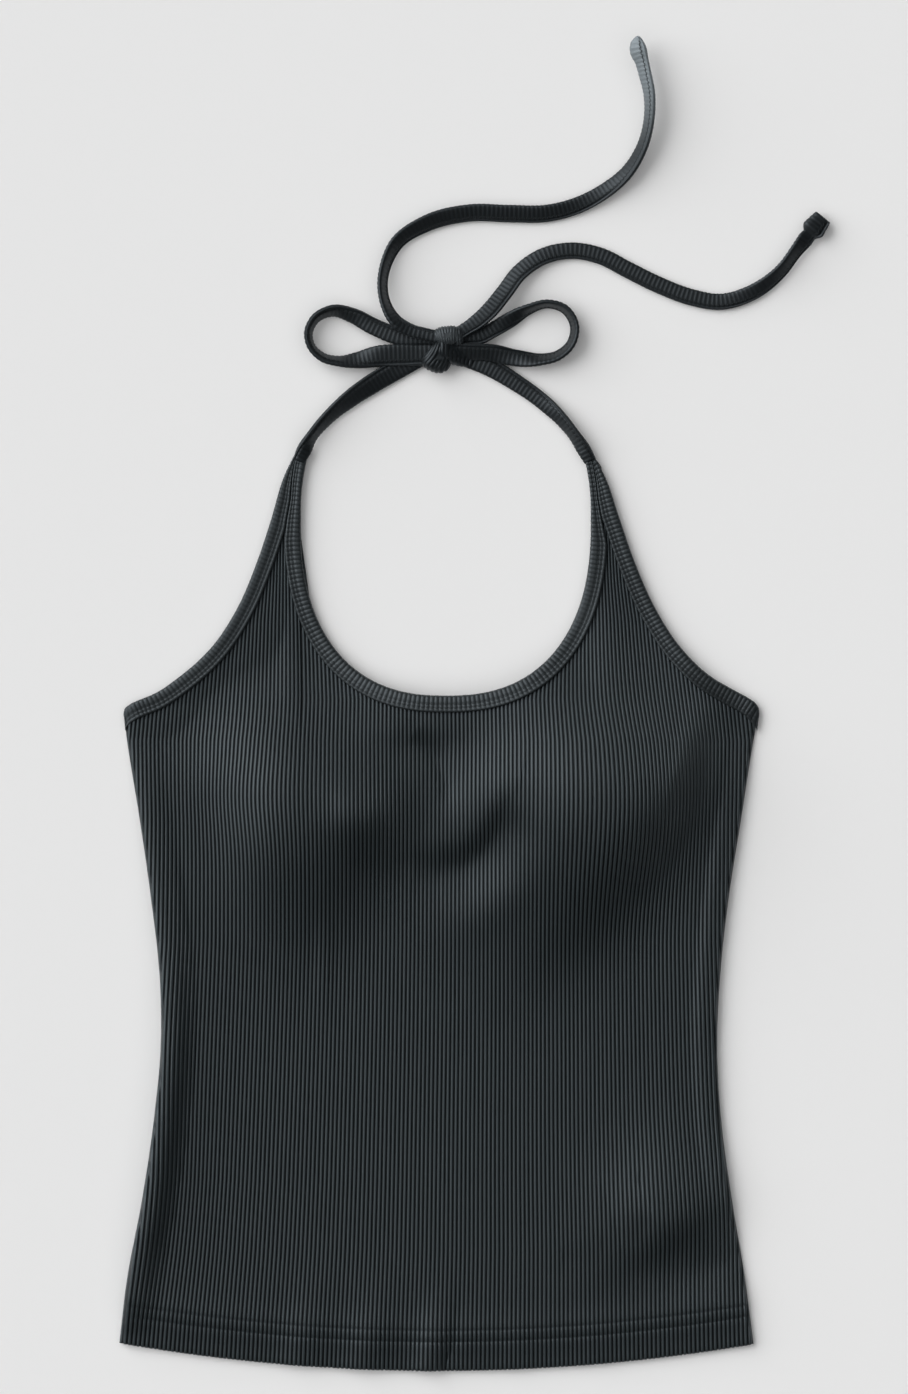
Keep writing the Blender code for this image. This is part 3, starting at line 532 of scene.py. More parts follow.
SEAM = 0.3              # room between two layers that are sewn together
SEAM_FADE = 6.0         # how far in from the side seams it opens
SEAM_GRIP = 0.03        # how far the front is pressed into the back at the side seams
FLOOR_THICK = 0.75      # thickness of the cloth at the bottom of its grooves
EDGE_SPACE = 1.0        # room between a cut edge and the fold of its binding
NECK_X = 4.0
NECK_WIDEST_Y = 304.0
NECK_HALF_WIDTH = 84.8
NECK_DEPTH = 102.5
NECK_ROUNDNESS = 2.4
NECK_TURN_Y = 310.0     # above it the neckline's sides lean in
NECK_LEAN = 0.0041
POINT_Y = 346.0
FRONT_TIP_Y = 325.0
UNDERARM_REACH = 187.0
ARMHOLE_LEFT = (
    # distance from the centre line, y
    (184.3, 190.5), (183.7, 193.8), (181, 196.2), (176.4, 198.5), (167.3, 202.2),
    (150.5, 213.5), (132.8, 230), (118.3, 252), (106.3, 280), (98, 305), (91, 328.5),
    (79.6, 351),
)
ARMHOLE_RIGHT = (
    # distance from the centre line, y
    (186.9, 190), (186.9, 194), (185, 197.2), (181.2, 199.9), (172.3, 204.8),
    (157.8, 213.5), (141, 230), (126.8, 252), (114.3, 280), (105.6, 305), (97.5, 328.5),
    (84.8, 351),
)
GATHER_X = 90.0
GATHER = (
    # y, share of the pitch
    (199, 1), (222, 0.96), (246, 0.9), (269, 0.78), (325, 0.6),
)
BOWS = (
    # x, y, half_width, half_height, how far the ribs bow out there
    (112, 138, 36, 50, 6),
    (-108, 142, 32, 26, -2.8),
    (150, -95, 40, 50, 2.5),
    (-165, -90, 30, 60, 2.2),
)
LOFT = 2.9              # how far the springy cloth stands off the back
LOFT_ROLLS = (30.0, 17.0)       # how far in from the left and right seam it is reached
LOFT_FADE = 45.0        # height below the underarms over which it dies away
HEM_FADE = 28.0         # height above the hem over which the loft and the bust come in
SWELL_TOP = 266.0       # height at which the bust has died away, and over what
SWELL_FADE = 92.0
SWELL_SIDES = ((13.0, 88.0), (7.0, 40.0))       # where it rises from each seam, and over what
SWELLS = (
    # x, y, half_width, half_height above and below, turn, lift, how sharply it falls below
    (-88, 135, 58, 92, 57, 62, 16.5, 3.5),
    (84, 154, 72, 78, 68, 53, 15.5, 4.6),
    (98, 137, 74, 60, 38, 50, 14.5, 3.2),
    (-15, 187, 34, 60, 13, 4, 2.6, 2.6),
    (132, -94, 42, 34, 24, 32, 4.8, 4),
)
RIPPLES = (
    # x, y, half_width, half_height, turn, lift
    (30, 142, 26, 16, 42, 2), (100, 226, 13, 38, 4, 2.2), (-47, 131, 15, 18, 20, 5.4),
    (-102, 112, 22, 44, 0, 2.6), (34, 78, 26, 12, 28, 1), (16, 208, 60, 27, 4, 4),
    (-68, 46, 4.5, 26, 0, 1), (-44, -188, 10.5, 30, -12, 2.6), (-5, -188, 8.5, 28, -8, 3.4),
    (5.5, -188, 4.5, 26, -8, -1.6), (-82, -186, 10.5, 32, -12, 2),
    (44, -188, 10, 18, 0, 0.7), (92, -184, 12, 22, 0, 0.7), (-87, 231, 7, 36, 0, 1.2),
    (154, -134, 24, 11, 20, -2), (118, -112, 8, 7, 30, -1.2),
)
# The creases: under and between the two sides of the bust, a soft dip beside the left armhole,
# and the ridge at the lower right.
CREASES = (
    # the line a crease follows, half_width on its left and on its right, depth
    (((-18, 103), (0, 101), (15, 103.5), (28, 112), (37, 124), (42, 138)), 7, 19, 5.2),
    (((-16, 180), (-2, 164), (5, 150), (7, 138)), 7, 7, 2.8),
    (((-171, 174), (-156, 184), (-138, 195), (-117, 214),
      (-101, 241), (-92, 270)), 9, 24, 1.9),
    (((104, -116), (128, -108), (152, -96), (190, -82)), 32, 15, -3.8),
)
CREASE_ENDS = (0.02, 0.98)      # keep a little of a crease's depth at its ends
CREASE_TAPER = 0.6
CREASE_FADE = 5.0       # how far in from a side seam a crease begins
SEAM_START = 0.5        # creases and beads are already this far on at the seam itself
LEFT_ROLL = (
    # y, height of the bead that the left side seam rolls into
    (-172, 0.8), (-150, 8), (-110, 12), (-60, 12), (0, 11), (40, 9.2), (90, 6), (135, 3),
    (176, 0),
)
RIGHT_ROLL = (
    # y, height
    (-168, 0.4), (-120, 1), (-60, 1.8), (0, 2.2), (60, 2.2), (110, 2), (150, 1.4), (178, 0),
)
ROLL_CRESTS = (4.5, 8.0)        # how far in from the left and right seam the beads crest
ROLL_FALLS = (17.0, 9.0)        # how far on from there they run out
STITCH_ROWS = (17.0, 23.5)      # twin needle rows above the hem's edge
STITCH_PULL = 0.25      # how far the stitches press the cloth, and how far from their rows
STITCH_REACH = 0.8
STITCHED_RIB = 0.2      # share of their height that the ribs lose there
HEM_RISES = (
    # first rows above the hem's edge, close together where it is sewn
    0, 0.15, 0.6, 1.5, 4, 8, 12, 15, 16.3, 17, 17.7, 19, 21.5, 22.8, 23.5, 24.2, 25.5, 28,
)
HEM_TURNS = (0.42, 0.7, 0.92)   # share of the thickness left in the first rows at the hem
HEM_FOLD = 0.4          # how far the inner face comes up into them
BODY_TOP_Y = 172.0
BODY_ROWS = 56
UPPER_ROWS = 26
INNER_RIBS = 4          # ribs from point to point on the inner face


def rib_x(rib, y):
    """Where a rib of the front runs: it bows over the bust and leans in to the points."""
    x = straight_rib_x(rib, y)
    for bow_x, bow_y, half_width, half_height, shift in BOWS:
        reach = ((x - bow_x) / half_width) ** 2 + ((y - bow_y) / half_height) ** 2
        x = x + shift * np.exp(-reach)
    point = GATHER_X * np.sign(x)
    return point + (x - point) * column(GATHER, 1, y)


def rib_at(x, y):
    """Number of the rib of the front that runs through a place."""
    numbers = np.linspace(-RIB_REACH, RIB_REACH, 2001)
    return np.interp(x, rib_x(numbers, y), numbers)


def neck_curve_y(x, outset):
    """Height of the neckline moved out into the cloth, and its widest height past its sides."""
    reach = np.minimum(1.0, np.abs(x - NECK_X) / (NECK_HALF_WIDTH + outset))
    drop = (1 - reach ** NECK_ROUNDNESS) ** (1 / NECK_ROUNDNESS)
    return NECK_WIDEST_Y - (NECK_DEPTH + outset) * drop


def armhole_curve(side):
    """Dense points along one armhole's edge, from the underarm up; side is -1 or 1."""
    rows = ARMHOLE_LEFT if side < 0 else ARMHOLE_RIGHT
    return smooth([(side * x, y) for x, y in rows])


def unit(vectors):
    """The same directions, each one long."""
    return vectors / np.linalg.norm(vectors, axis=1)[:, None]


def leftward(curve):
    """Unit vectors to the left of a curve."""
    along = unit(np.gradient(curve, axis=0))
    return np.stack([-along[:, 1], along[:, 0]], axis=1)


def cut_line(inset):
    """Places across the front and the heights where it is cut off under the bindings."""
    places = np.arange(-UNDERARM_REACH, UNDERARM_REACH, 0.25)
    heights = np.full(len(places), FRONT_TIP_Y)
    for side in (-1, 1):
        curve = armhole_curve(side)
        curve = curve + inset * side * leftward(curve)
        order = np.argsort(side * curve[:, 0])
        arm = np.interp(side * places, side * curve[order, 0], curve[order, 1])
        heights = np.where(side * places > 0, np.minimum(heights, arm), heights)
    within = np.abs(places - NECK_X) < NECK_HALF_WIDTH + inset
    return places, np.where(within, np.minimum(heights, neck_curve_y(places, inset)), heights)


CUT_LINE = cut_line(WALL + EDGE_SPACE)


def front_heights(place_at):
    """Heights of one line of the front's points, from the hem to its edge in the bindings."""
    foot = hem_y(float(place_at(HEM_Y)))
    climb = np.arange(BODY_TOP_Y, FRONT_TIP_Y, 0.1)
    over = np.flatnonzero(climb > np.interp(place_at(climb), *CUT_LINE))
    top = climb[over[0]] if len(over) else FRONT_TIP_Y
    rises = [foot + rise for rise in HEM_RISES]
    body = np.linspace(rises[-1], BODY_TOP_Y, BODY_ROWS + 1)[1:]
    return rises + list(body) + list(np.linspace(BODY_TOP_Y, top, UPPER_ROWS + 1)[1:])


def turned_axes(x, y, centre_x, centre_y, turn):
    """Distances from a centre along axes that are turned by some degrees."""
    cosine, sine = math.cos(math.radians(turn)), math.sin(math.radians(turn))
    return ((x - centre_x) * cosine + (y - centre_y) * sine,
            (y - centre_y) * cosine - (x - centre_x) * sine)


def lift(x, y):
    """How far the front stands off its resting height: the cloth's spring and the bust."""
    left, right = side_edges(y)
    rolls_over = np.where(x < 0, *LOFT_ROLLS)
    roll = 1 - (1 - np.minimum(1.0, from_side(x, y) / rolls_over)) ** 2
    above_hem = fade((y - hem_y(x)) / HEM_FADE)
    below_arm = fade((UNDERARM_Y - y) / LOFT_FADE)
    below_neck = fade((SWELL_TOP - y) / SWELL_FADE)
    height = LOFT * roll * above_hem * below_arm
    (left_in, left_over), (right_in, right_over) = SWELL_SIDES
    from_seams = fade((x + left - left_in) / left_over)
    from_seams = from_seams * fade((right - x - right_in) / right_over)
    for swell_x, swell_y, half_width, above, below, turn, rise, fall in SWELLS:
        u, v = turned_axes(x, y, swell_x, swell_y, turn)
        drop = np.where(v < 0, np.abs(v / below) ** fall, (v / above) ** 2)
        swell = rise * np.exp(-(u / half_width) ** 2 - drop)
        height = height + swell * from_seams * above_hem * below_neck
    return height


def near_line(x, y, line):
    """Distance to the left of a line of points, and how far along it that is, from 0 to 1."""
    line = np.array(line)
    nearest, at = np.full(np.shape(x), np.inf), np.zeros(np.shape(x))
    for k, (start, end) in enumerate(zip(line, line[1:])):
        (x0, y0), (dx, dy) = start, end - start
        share = np.clip(((x - x0) * dx + (y - y0) * dy) / ((end - start) @ (end - start)), 0, 1)
        away = np.hypot(x - x0 - share * dx, y - y0 - share * dy)
        nearer = away < np.abs(nearest)
        at = np.where(nearer, (k + share) / (len(line) - 1), at)
        on_left = dx * (y - y0) > dy * (x - x0)
        nearest = np.where(nearer, np.where(on_left, away, -away), nearest)
    return nearest, at


def creases(x, y):
    """Soft ridges and troughs that the cloth has taken on."""
    height = np.zeros(np.shape(x))
    for ripple_x, ripple_y, half_width, half_height, turn, rise in RIPPLES:
        u, v = turned_axes(x, y, ripple_x, ripple_y, turn)
        height = height + rise * np.exp(-(u / half_width) ** 2 - (v / half_height) ** 2)
    for line, left_width, right_width, depth in CREASES:
        away, at = near_line(x, y, line)
        depth = depth * np.sin(math.pi * np.clip(at, *CREASE_ENDS)) ** CREASE_TAPER
        depth = depth * fade((from_side(x, y) + SEAM_START) / CREASE_FADE)
        half_width = np.where(away > 0, left_width, right_width)
        height = height - depth * np.exp(-(away / half_width) ** 2)
    left, right = side_edges(y)
    for inward, crest, fall, heights in zip(
        (x + left, right - x), ROLL_CRESTS, ROLL_FALLS, (LEFT_ROLL, RIGHT_ROLL),
    ):
        bead = fade((crest + fall - inward) / fall) * fade((inward + SEAM_START) / EDGE_ROLL)
        height = height + column(heights, 1, y) * bead
    return height


def carried_up(x, y):
    """How far the spring, the bust and the creases carry up the front and its bindings."""
    return np.maximum(0.0, lift(x, y) + creases(x, y))


def front_under(x, y):
    """Height of the front's inner face, which comes down on the back at the side seams."""
    off_back = SEAM * fade(from_side(x, y) / SEAM_FADE) - SEAM_GRIP
    return WALL + hem_layer(x, y) + off_back + carried_up(x, y)


def sewn(x, y):
    """How much the twin needle stitching presses the hem, from 0 to 1."""
    up = y - hem_y(x)
    return sum(np.exp(-((up - row) / STITCH_REACH) ** 2) for row in STITCH_ROWS)


outer, inner = [], []
for k, row in enumerate(cloth_rows(front_heights, rib_x, rib_at)):
    left_in = HEM_TURNS[k] if k < len(HEM_TURNS) else 1.0
    rib, x, y = row.T
    thick = FLOOR_THICK + hem_layer(x, y) - STITCH_PULL * sewn(x, y)
    relief = (fade(from_side(x, y) / EDGE_ROLL) * (1 - STITCHED_RIB * sewn(x, y))
              * left_in ** 2)
    outer.append((rib, x, y, front_under(x, y) + thick * rounded(x, y) * left_in, relief))
    rib, x, y = thinned_row(row, INNER_RIBS).T
    inner.append((rib, x, y, front_under(x, y) + (1 - left_in) * HEM_FOLD, 0 * rib))
front = panel("front", outer, inner, BODY_RIB_HEIGHT, 0.0)
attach(front, "root")
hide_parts("front_panel")


# === Hem stitching ==========================================================================
# Two rows of polyester thread, sewn with a twin needle 6.4 mm wide through the turned-up hem.
# Each stitch lies across a rib and is pulled down into the knit.

STITCH_WIDTH = 0.55
STITCH_FLATNESS = 0.75
STITCH_ENDS = (0.12, 0.88)      # where a hem stitch starts and ends across its rib
HEM_STITCH_RISE = 0.5   # how far it stands off the pressed cloth
HEM_STITCH_CLEAR = 1.5  # least distance of a stitch from a side seam


def stitch_tree():
    """Geometry Nodes that lay one short thread at each point, along its own direction."""
    tree, given = new_tree("lay stitches", {
        "Places": "Geometry", "Thread width": "Float", "Thread": "Material"}, "Stitches")
    lie, up = read_numbers(tree, "FLOAT_VECTOR", "lie", "up")
    length = add_node(tree, "ShaderNodeVectorMath", {"operation": "LENGTH"}, links={0: lie})
    turn = add_node(
        tree, "FunctionNodeAxesToRotation", {"primary_axis": "X", "secondary_axis": "Z"},
        links={"Primary Axis": lie, "Secondary Axis": up})
    flat = add_node(
        tree, "ShaderNodeMath", {"operation": "MULTIPLY"}, {1: STITCH_FLATNESS},
        {0: given["Thread width"]})
    size = add_node(tree, "ShaderNodeCombineXYZ", links={
        "X": length.outputs["Value"], "Y": given["Thread width"], "Z": flat})
    thread = add_node(
        tree, "GeometryNodeMeshUVSphere", sockets={"Segments": 6, "Rings": 5, "Radius": 0.5})
    laid = add_node(tree, "GeometryNodeInstanceOnPoints", links={
        "Points": given["Places"], "Instance": thread, "Rotation": turn, "Scale": size})
    end_tree(tree, laid, given["Thread"])
    return tree


STITCH_TREE = stitch_tree()

# Spun polyester thread: dyed to match, a little smoother than the knit, so it glints.
THREAD, thread_tree, thread_shader = new_material("spun polyester thread", {
    "Roughness": 0.6, "Specular IOR Level": 0.25, "Sheen Weight": 0.04})
thread_place = add_node(thread_tree, "ShaderNodeTexCoord")
thread_twist = add_node(
    thread_tree, "ShaderNodeTexNoise", sockets={"Scale": 2500.0, "Detail": 1.0},
    links={"Vector": thread_place.outputs["Object"]})
thread_colour = add_node(
    thread_tree, "ShaderNodeMix", {"data_type": "RGBA"},
    {6: linear("#14181a"), 7: linear("#262c2f")}, {0: thread_twist})
thread_tree.links.new(thread_colour.outputs[2], thread_shader.inputs["Base Color"])


def sew(name, run):
    """Lay stitches: the run lists (start, end, up) in millimetres for every stitch."""
    starts, ends, ups = (np.array([stitch[k] for stitch in run], float) for k in range(3))
    piece = new_piece(name, (starts + ends) / 2, [])
    for heading, values in (("lie", (ends - starts) * MM), ("up", ups)):
        layer = piece.data.attributes.new(heading, "FLOAT_VECTOR", "POINT")
        layer.data.foreach_set("vector", values.astype(np.float32).ravel())
    apply_tree(piece, STITCH_TREE, {"Thread width": STITCH_WIDTH * MM, "Thread": THREAD})
    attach(piece, "root")
    return piece


run = []
for rise in STITCH_ROWS:
    for n in range(-RIB_REACH, RIB_REACH):
        ends = []
        for number in (n + part for part in STITCH_ENDS):
            y = float(hem_y(float(rib_x(number, HEM_Y + rise + 3.0)))) + rise
            x = float(rib_x(number, y))
            under = float(front_under(x, y))
            ends.append((x, y, under + FLOOR_THICK + HEM_EXTRA + HEM_STITCH_RISE))
        if min(float(from_side(*end[:2])) for end in ends) > HEM_STITCH_CLEAR:
            run.append((*ends, (0.0, 0.0, 1.0)))
hem_stitching = sew("hem_stitching", run)


# === Bindings of the neckline, the armholes and the back ====================================
# A strip of the same knit, cut across its ribs, is folded over each raw edge and sewn down
# with two rows of stitches. Its inner edge stands up as a lip. The back's strip lies flat.

NECK_BAND = 9.8
ARM_BAND = 9.7
BAND_UNDER = 3.0        # width of the strip's underside at the side seams,
BAND_UNDER_WIDE = 8.6   # and everywhere else
BAND_TOP = 1.2
BAND_ROUND = 24         # way round the strip's section, for its rows of knit stitches
BAND_RIB = 2.62
PANEL_RIBS = 0.55       # how much the panel's ribs add to it inside the strip
END_TURN = 12.0         # how far from its ends a section turns to its last direction
WIDE_FADE = 14.0        # over what the underside widens
UNDERARM_HEIGHT = 0.6   # share of its height that a strip has at the underarm
UNDERARM_FADE = 10.0    # how far from there it is all reached
BAND_RIB_PARTS = (0.0, 0.17, 0.5, 0.83)
BAND_RIB_HEIGHT = 0.32
BAND_CREST = 0.33
STRIP_FOOT = 0.5
BAND_PROFILE = (
    # share of the width, height against the strip's upper side, how far the ribs stand out
    (0, -3.6, 0.2), (0.015, -2.1, 0.5), (0.04, -0.9, 0.8), (0.08, -0.28, 1),
    (0.14, -0.06, 1), (0.22, 0, 1), (0.34, 0.04, 1), (0.47, 0, 1), (0.55, -0.32, 0.9),
    (0.62, -0.14, 1), (0.70, -0.14, 1), (0.76, -0.36, 0.9), (0.83, 0, 0.7),
    (0.9, 0.16, 0.35), (0.96, 0.02, 0.2), (1, -0.45, 0),
)
BAND_STITCHES = (0.55, 0.76)    # where the stitches run, as shares of the width
BAND_STITCH_ENDS = (0.14, 0.86)
BAND_STITCH_RISE = 0.34
BAND_STITCHED = 0.72    # least share of the full width that still takes the stitches
POINT_SEAM = (
    # y, left, right
    (286, 91.2, 99.3), (304, 89, 95.2), (316, 86.8, 93), (328, 86, 91.7), (338, 84.6, 89.8),
    (347, 81, 86),
)
BACK_PROFILE = (
    # inset, height, how far the ribs stand out
    (0.0, 0.7, 0.0), (0.3, 0.2, 0.5), (1.0, 0.0, 1.0), (4.8, 0.0, 1.0), (8.6, 0.0, 1.0),
    (9.3, 0.2, 0.5), (9.5, 0.7, 0.0), (9.3, 1.2, 0.0), (8.6, 1.4, 0.0), (4.8, 1.4, 0.0),
    (1.0, 1.4, 0.0), (0.3, 1.2, 0.0),
)
BINDING_KNIT = rib_knit("cotton rib knit, cut across", "#191d1e", "#050606", 0.33, 0.49, 1.1)


def neck_edge():
    """Dense points round the neckline's edge, from the left point down and up to the right."""
    turns = np.linspace(math.pi, 2 * math.pi, 240)
    power = 2 / NECK_ROUNDNESS
    bowl_x = NECK_X + NECK_HALF_WIDTH * np.sign(np.cos(turns)) * np.abs(np.cos(turns)) ** power
    bowl_y = NECK_WIDEST_Y - NECK_DEPTH * np.abs(np.sin(turns)) ** power
    climb = np.linspace(NECK_WIDEST_Y, POINT_Y, 30)[1:]
    lean = NECK_LEAN * np.clip(climb - NECK_TURN_Y, 0.0, None) ** 2
    left = np.stack([NECK_X - NECK_HALF_WIDTH + lean, climb], axis=1)[::-1]
    right = np.stack([NECK_X + NECK_HALF_WIDTH - lean, climb], axis=1)
    return np.concatenate((left, np.stack([bowl_x, bowl_y], axis=1), right))


def arm_edge(side):
    """Dense points along one armhole's edge, from the underarm up to the point of the front."""
    curve = armhole_curve(side)
    end = (np.interp(POINT_Y, curve[:, 1], curve[:, 0]), POINT_Y)
    return np.vstack((curve[curve[:, 1] < POINT_Y - 0.5], end))


def at_ribs(curve, pitch, parts):
    """Take the points of a curve where its cross ribs need them, with their rib numbers."""
    _, along = travel(curve[:, :3])
    count = max(1, round(along[-1] / pitch))
    numbers = np.append((np.arange(count)[:, None] + np.array(parts)).ravel(), count)
    stations = numbers / count * along[-1]
    taken = np.stack([np.interp(stations, along, values) for values in curve.T], axis=1)
    return taken, numbers, stations


def at_rib(number, ribs, values):
    """Values along a strip, read off at a rib's number."""
    return np.array([np.interp(number, ribs, heading) for heading in values.T])


def section_directions(edge, inward_turn, first, last):
    """Unit vectors from the edge into the cloth, turned near the ends to the given ones."""
    inward = inward_turn * leftward(edge)
    _, along = travel(edge)
    for reach, given in ((along, first), (along[-1] - along, last)):
        kept = fade(reach / END_TURN)[:, None]
        inward = inward * kept + np.array(given) * (1 - kept)
    return unit(inward)


def free_width(edge, inward, band, towards):
    """Width of the band's upper side, kept on its own side of the line above the point."""
    widths = np.arange(WALL + 0.4, band + 0.05, 0.1)
    result = []
    for place, direction in zip(edge, inward):
        x = place[0] + direction[0] * widths
        y = place[1] + direction[1] * widths
        side = -1 if place[0] < NECK_X else 1
        line = side * column(POINT_SEAM, 1 if side < 0 else 2, y)
        clear = (y < POINT_SEAM[0][0]) | (towards * side * (line - x) > 0.05)
        blocked = np.flatnonzero(~clear)
        result.append(widths[max(0, blocked[0] - 1)] if len(blocked) else widths[-1])
    return np.array(result)


def bind(name, node, edge, inward_turn, first, last, band, towards, wide_from):
    """A strip folded over a raw edge, ribbed across, with its two rows of stitches."""
    fine, ribs, stations = at_ribs(edge, BAND_RIB, BAND_RIB_PARTS)
    inward = section_directions(fine, inward_turn, first, last)
    width = free_width(fine, inward, band, towards)
    width = np.convolve(np.pad(width, 3, mode="edge"), np.ones(7) / 7, mode="valid")
    under = BAND_UNDER + (BAND_UNDER_WIDE - BAND_UNDER) * fade(
        (np.minimum(stations, stations[-1] - stations) - wide_from) / WIDE_FADE)
    panel_under = WALL + SEAM
    panel_over = panel_under + WALL + PANEL_RIBS
    top = panel_over + SEAM + BAND_TOP
    stands = 1.0
    if wide_from:
        stands = UNDERARM_HEIGHT + (1 - UNDERARM_HEIGHT) * fade(stations / UNDERARM_FADE)
    section = [(share * width, top + height, ribbed) for share, height, ribbed in BAND_PROFILE]
    section += [
        (width, panel_over + SEAM * 0.4, 0.0), (WALL, panel_over + SEAM, 0.0),
        (WALL, panel_under - SEAM, 0.0), (under, panel_under - SEAM, 0.0), (under, 0.15, 0.0),
        (1.2, 0.02, 0.0), (0.3, 0.5, 0.3),
    ]
    rows, relief = [], []
    for inset, height, ribbed in section:
        x, y = (fine + inward * (inset + 0 * width)[:, None]).T
        rows.append(np.stack([x, y, height * stands + carried_up(x, y)], axis=1))
        relief.append(np.full(len(fine), ribbed))
    piece = skin_round(name, rows, [stations] * len(rows), {
        "rib": [ribs] * len(rows),
        "along": [along + 0 * ribs for along in np.linspace(0, BAND_ROUND, len(rows))],
        "relief": relief,
    })
    raise_ribs(piece, BAND_RIB_HEIGHT, BAND_CREST, STRIP_FOOT, 0.0, BINDING_KNIT)
    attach(piece, "root")
    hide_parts(node)
    run = []
    for share in BAND_STITCHES:
        dip = np.interp(share, [p[0] for p in BAND_PROFILE], [p[1] for p in BAND_PROFILE])
        line = fine + inward * (share * width)[:, None]
        height = (top + dip + BAND_STITCH_RISE) * stands + carried_up(*line.T)
        line = np.column_stack([line, height])
        for n in range(int(ribs[-1])):
            ends = [at_rib(n + part, ribs, line) for part in BAND_STITCH_ENDS]
            if np.interp(n + 0.5, ribs, width) > BAND_STITCHED * band:
                run.append((*ends, (0.0, 0.0, 1.0)))
    stitching = sew(name + "_stitching", run)


bind("neckline_binding", "neck_binding", neck_edge(), -1, (-1, 0), (1, 0), NECK_BAND, 1, 0.0)
bind("left_armhole_binding", "armhole_binding_left", arm_edge(-1), -1, (0.1, -1), (1, 0),
     ARM_BAND, -1, 16.0)
bind("right_armhole_binding", "armhole_binding_right", arm_edge(1), 1, (-0.1, -1), (-1, 0),
     ARM_BAND, -1, 16.0)

back_x = np.linspace(-1, 1, 200)
back_x = back_x * np.where(back_x < 0, *side_edges(BACK_TOP_Y + BACK_TOP_RISE))
back_fine, back_ribs, back_stations = at_ribs(
    np.stack([back_x, back_top_y(back_x)], axis=1), BAND_RIB, BAND_RIB_PARTS)
back_ribbed = np.where((back_ribs > 1.0) & (back_ribs < back_ribs[-1] - 1.0), 1.0, 0.0)
rows = []
for inset, height, _ in BACK_PROFILE:
    y = back_fine[:, 1] - inset
    left, right = side_edges(y)
    rows.append(np.stack([np.clip(back_fine[:, 0], -left, right), y, height + 0 * y], axis=1))
back_binding = skin_round("back_binding_strip", rows, [back_stations] * len(rows), {
    "rib": [back_ribs] * len(rows),
    "along": [inset + 0 * back_ribs for inset, _, _ in BACK_PROFILE],
    "relief": [stands_out * back_ribbed for _, _, stands_out in BACK_PROFILE],
})
raise_ribs(back_binding, BACK_GROOVE, BAND_CREST, STRIP_FOOT, 1.0, BINDING_KNIT)
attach(back_binding, "root")
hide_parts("back_binding")


# === Straps, bow and free ends ==============================================================
# The binding strip runs on from each point of the front as a strap, folded to a flat tube and
# sewn shut by a zigzag along one edge. The straps tie in a bow with two loops and two ends.

TIE_THICK = 2.6
TIE_RIB_PARTS = (0.0, 0.3, 0.5, 0.7)    # its ribs are narrow, with wide grooves between them
TIE_RIB_HEIGHT = 0.3
TIE_RIB_ROOM = 0.1      # how much of that stands within the thickness, on each face
TIE_CREST = 0.22
TIE_ROUTE_POINTS = 4    # points of the outside for each one of the inside, along the tube
TIE_ACROSS = 5.0        # half of the tube's width, for its rows of stitches
INTO_KNOT = 8.0
TIE_OUTLINE = (
    # across from the middle, out of the face, how far the ribs stand out
    (1, 0.06, 0), (0.99, 0.4, 0.2), (0.95, 0.8, 0.2), (0.87, 1.05, 0.1), (0.79, 0.95, 0.1),
    (0.71, 0.62, 0.3), (0.61, 0.85, 0.8), (0.35, 0.98, 1), (0, 1, 1), (-0.4, 0.98, 1),
    (-0.75, 0.92, 1), (-0.93, 0.7, 0.8), (-1, 0.25, 0.5), (-1, -0.3, 0.5),
    (-0.93, -0.7, 0.8), (-0.75, -0.92, 1), (-0.4, -1, 1), (0, -1, 1), (0.35, -1, 1),
    (0.61, -0.95, 1), (0.8, -0.9, 0.8), (0.93, -0.7, 0.4), (0.99, -0.4, 0.2), (1, -0.06, 0),
)
TIE_INSIDE = (0.9, 0.45)        # size of the hollow against the outline, across and through
ZIGZAG_FACE = (0.98, 0.25)      # how high a thread lies: share of the half thickness, and more
ZIGZAG = (
    # where a thread starts and ends: share of a rib along, share of the half width out
    ((0.0, 0.3), (0.5, 0.58)),
    ((0.5, 0.58), (1.0, 0.3)),
)
# The tube's pale second colour is a painted highlight.
TIE_KNIT = rib_knit(
    "cotton rib knit, tube", "#0e1214", "#070809", 0.2, 0.42, 1.1, "#6c7377", 0.75)
# Each tie's rows give x, y, z, width and tilt, and its thickness where that isn't TIE_THICK.
STRAP_LEFT = (
    (-12.5, 398.7, 1.9, 11, 0), (-22.5, 393.4, 2.2, 11.6, -6), (-35.5, 386, 3.4, 12, -18),
    (-52.7, 374.4, 4.6, 11.4, -34), (-66.1, 362.7, 4.7, 9.4, -45),
    (-75.6, 351, 5.6, 9.4, -50), (-79.3, 344, 5.2, 8.6, -20, 3.4),
    (-82, 338.6, 4.4, 7, -6, 3),
)
STRAP_RIGHT = (
    (15.5, 399.2, 1.9, 10.5, 0), (28.5, 394.3, 1.8, 11, 0), (43.5, 385.5, 1.8, 10, 0),
    (59.4, 374.4, 2.3, 9.2, 8), (72, 362.5, 4.5, 9.2, 42), (80.8, 351.2, 5.4, 9, 46),
    (85.4, 344, 5, 8.2, 20, 3.4), (88.4, 338.6, 4.2, 7, 8, 3),
)
BOW_LOOP_LEFT = (
    (-12, 400.6, 5.1, 12.2, -6), (-22, 400.4, 5.2, 12.9, -10), (-35, 399.8, 5.1, 12.4, -8),
    (-47, 397.6, 4.9, 10.6, 25), (-57.5, 396.8, 5.2, 9.8, 55), (-68, 399.2, 5.4, 9.6, 64),
    (-74.6, 405.5, 5.4, 9.6, 70), (-76.3, 413, 5.4, 9.6, 70), (-72.3, 421.7, 5.4, 9.6, 66),
    (-62, 426.4, 5.2, 9.6, 56), (-50, 423.4, 4.9, 9.6, 30), (-38.6, 417.4, 4.8, 9.8, 5),
    (-23.5, 411.6, 4.9, 10.2, 0), (-9.5, 411, 5.3, 8.8, 0),
)
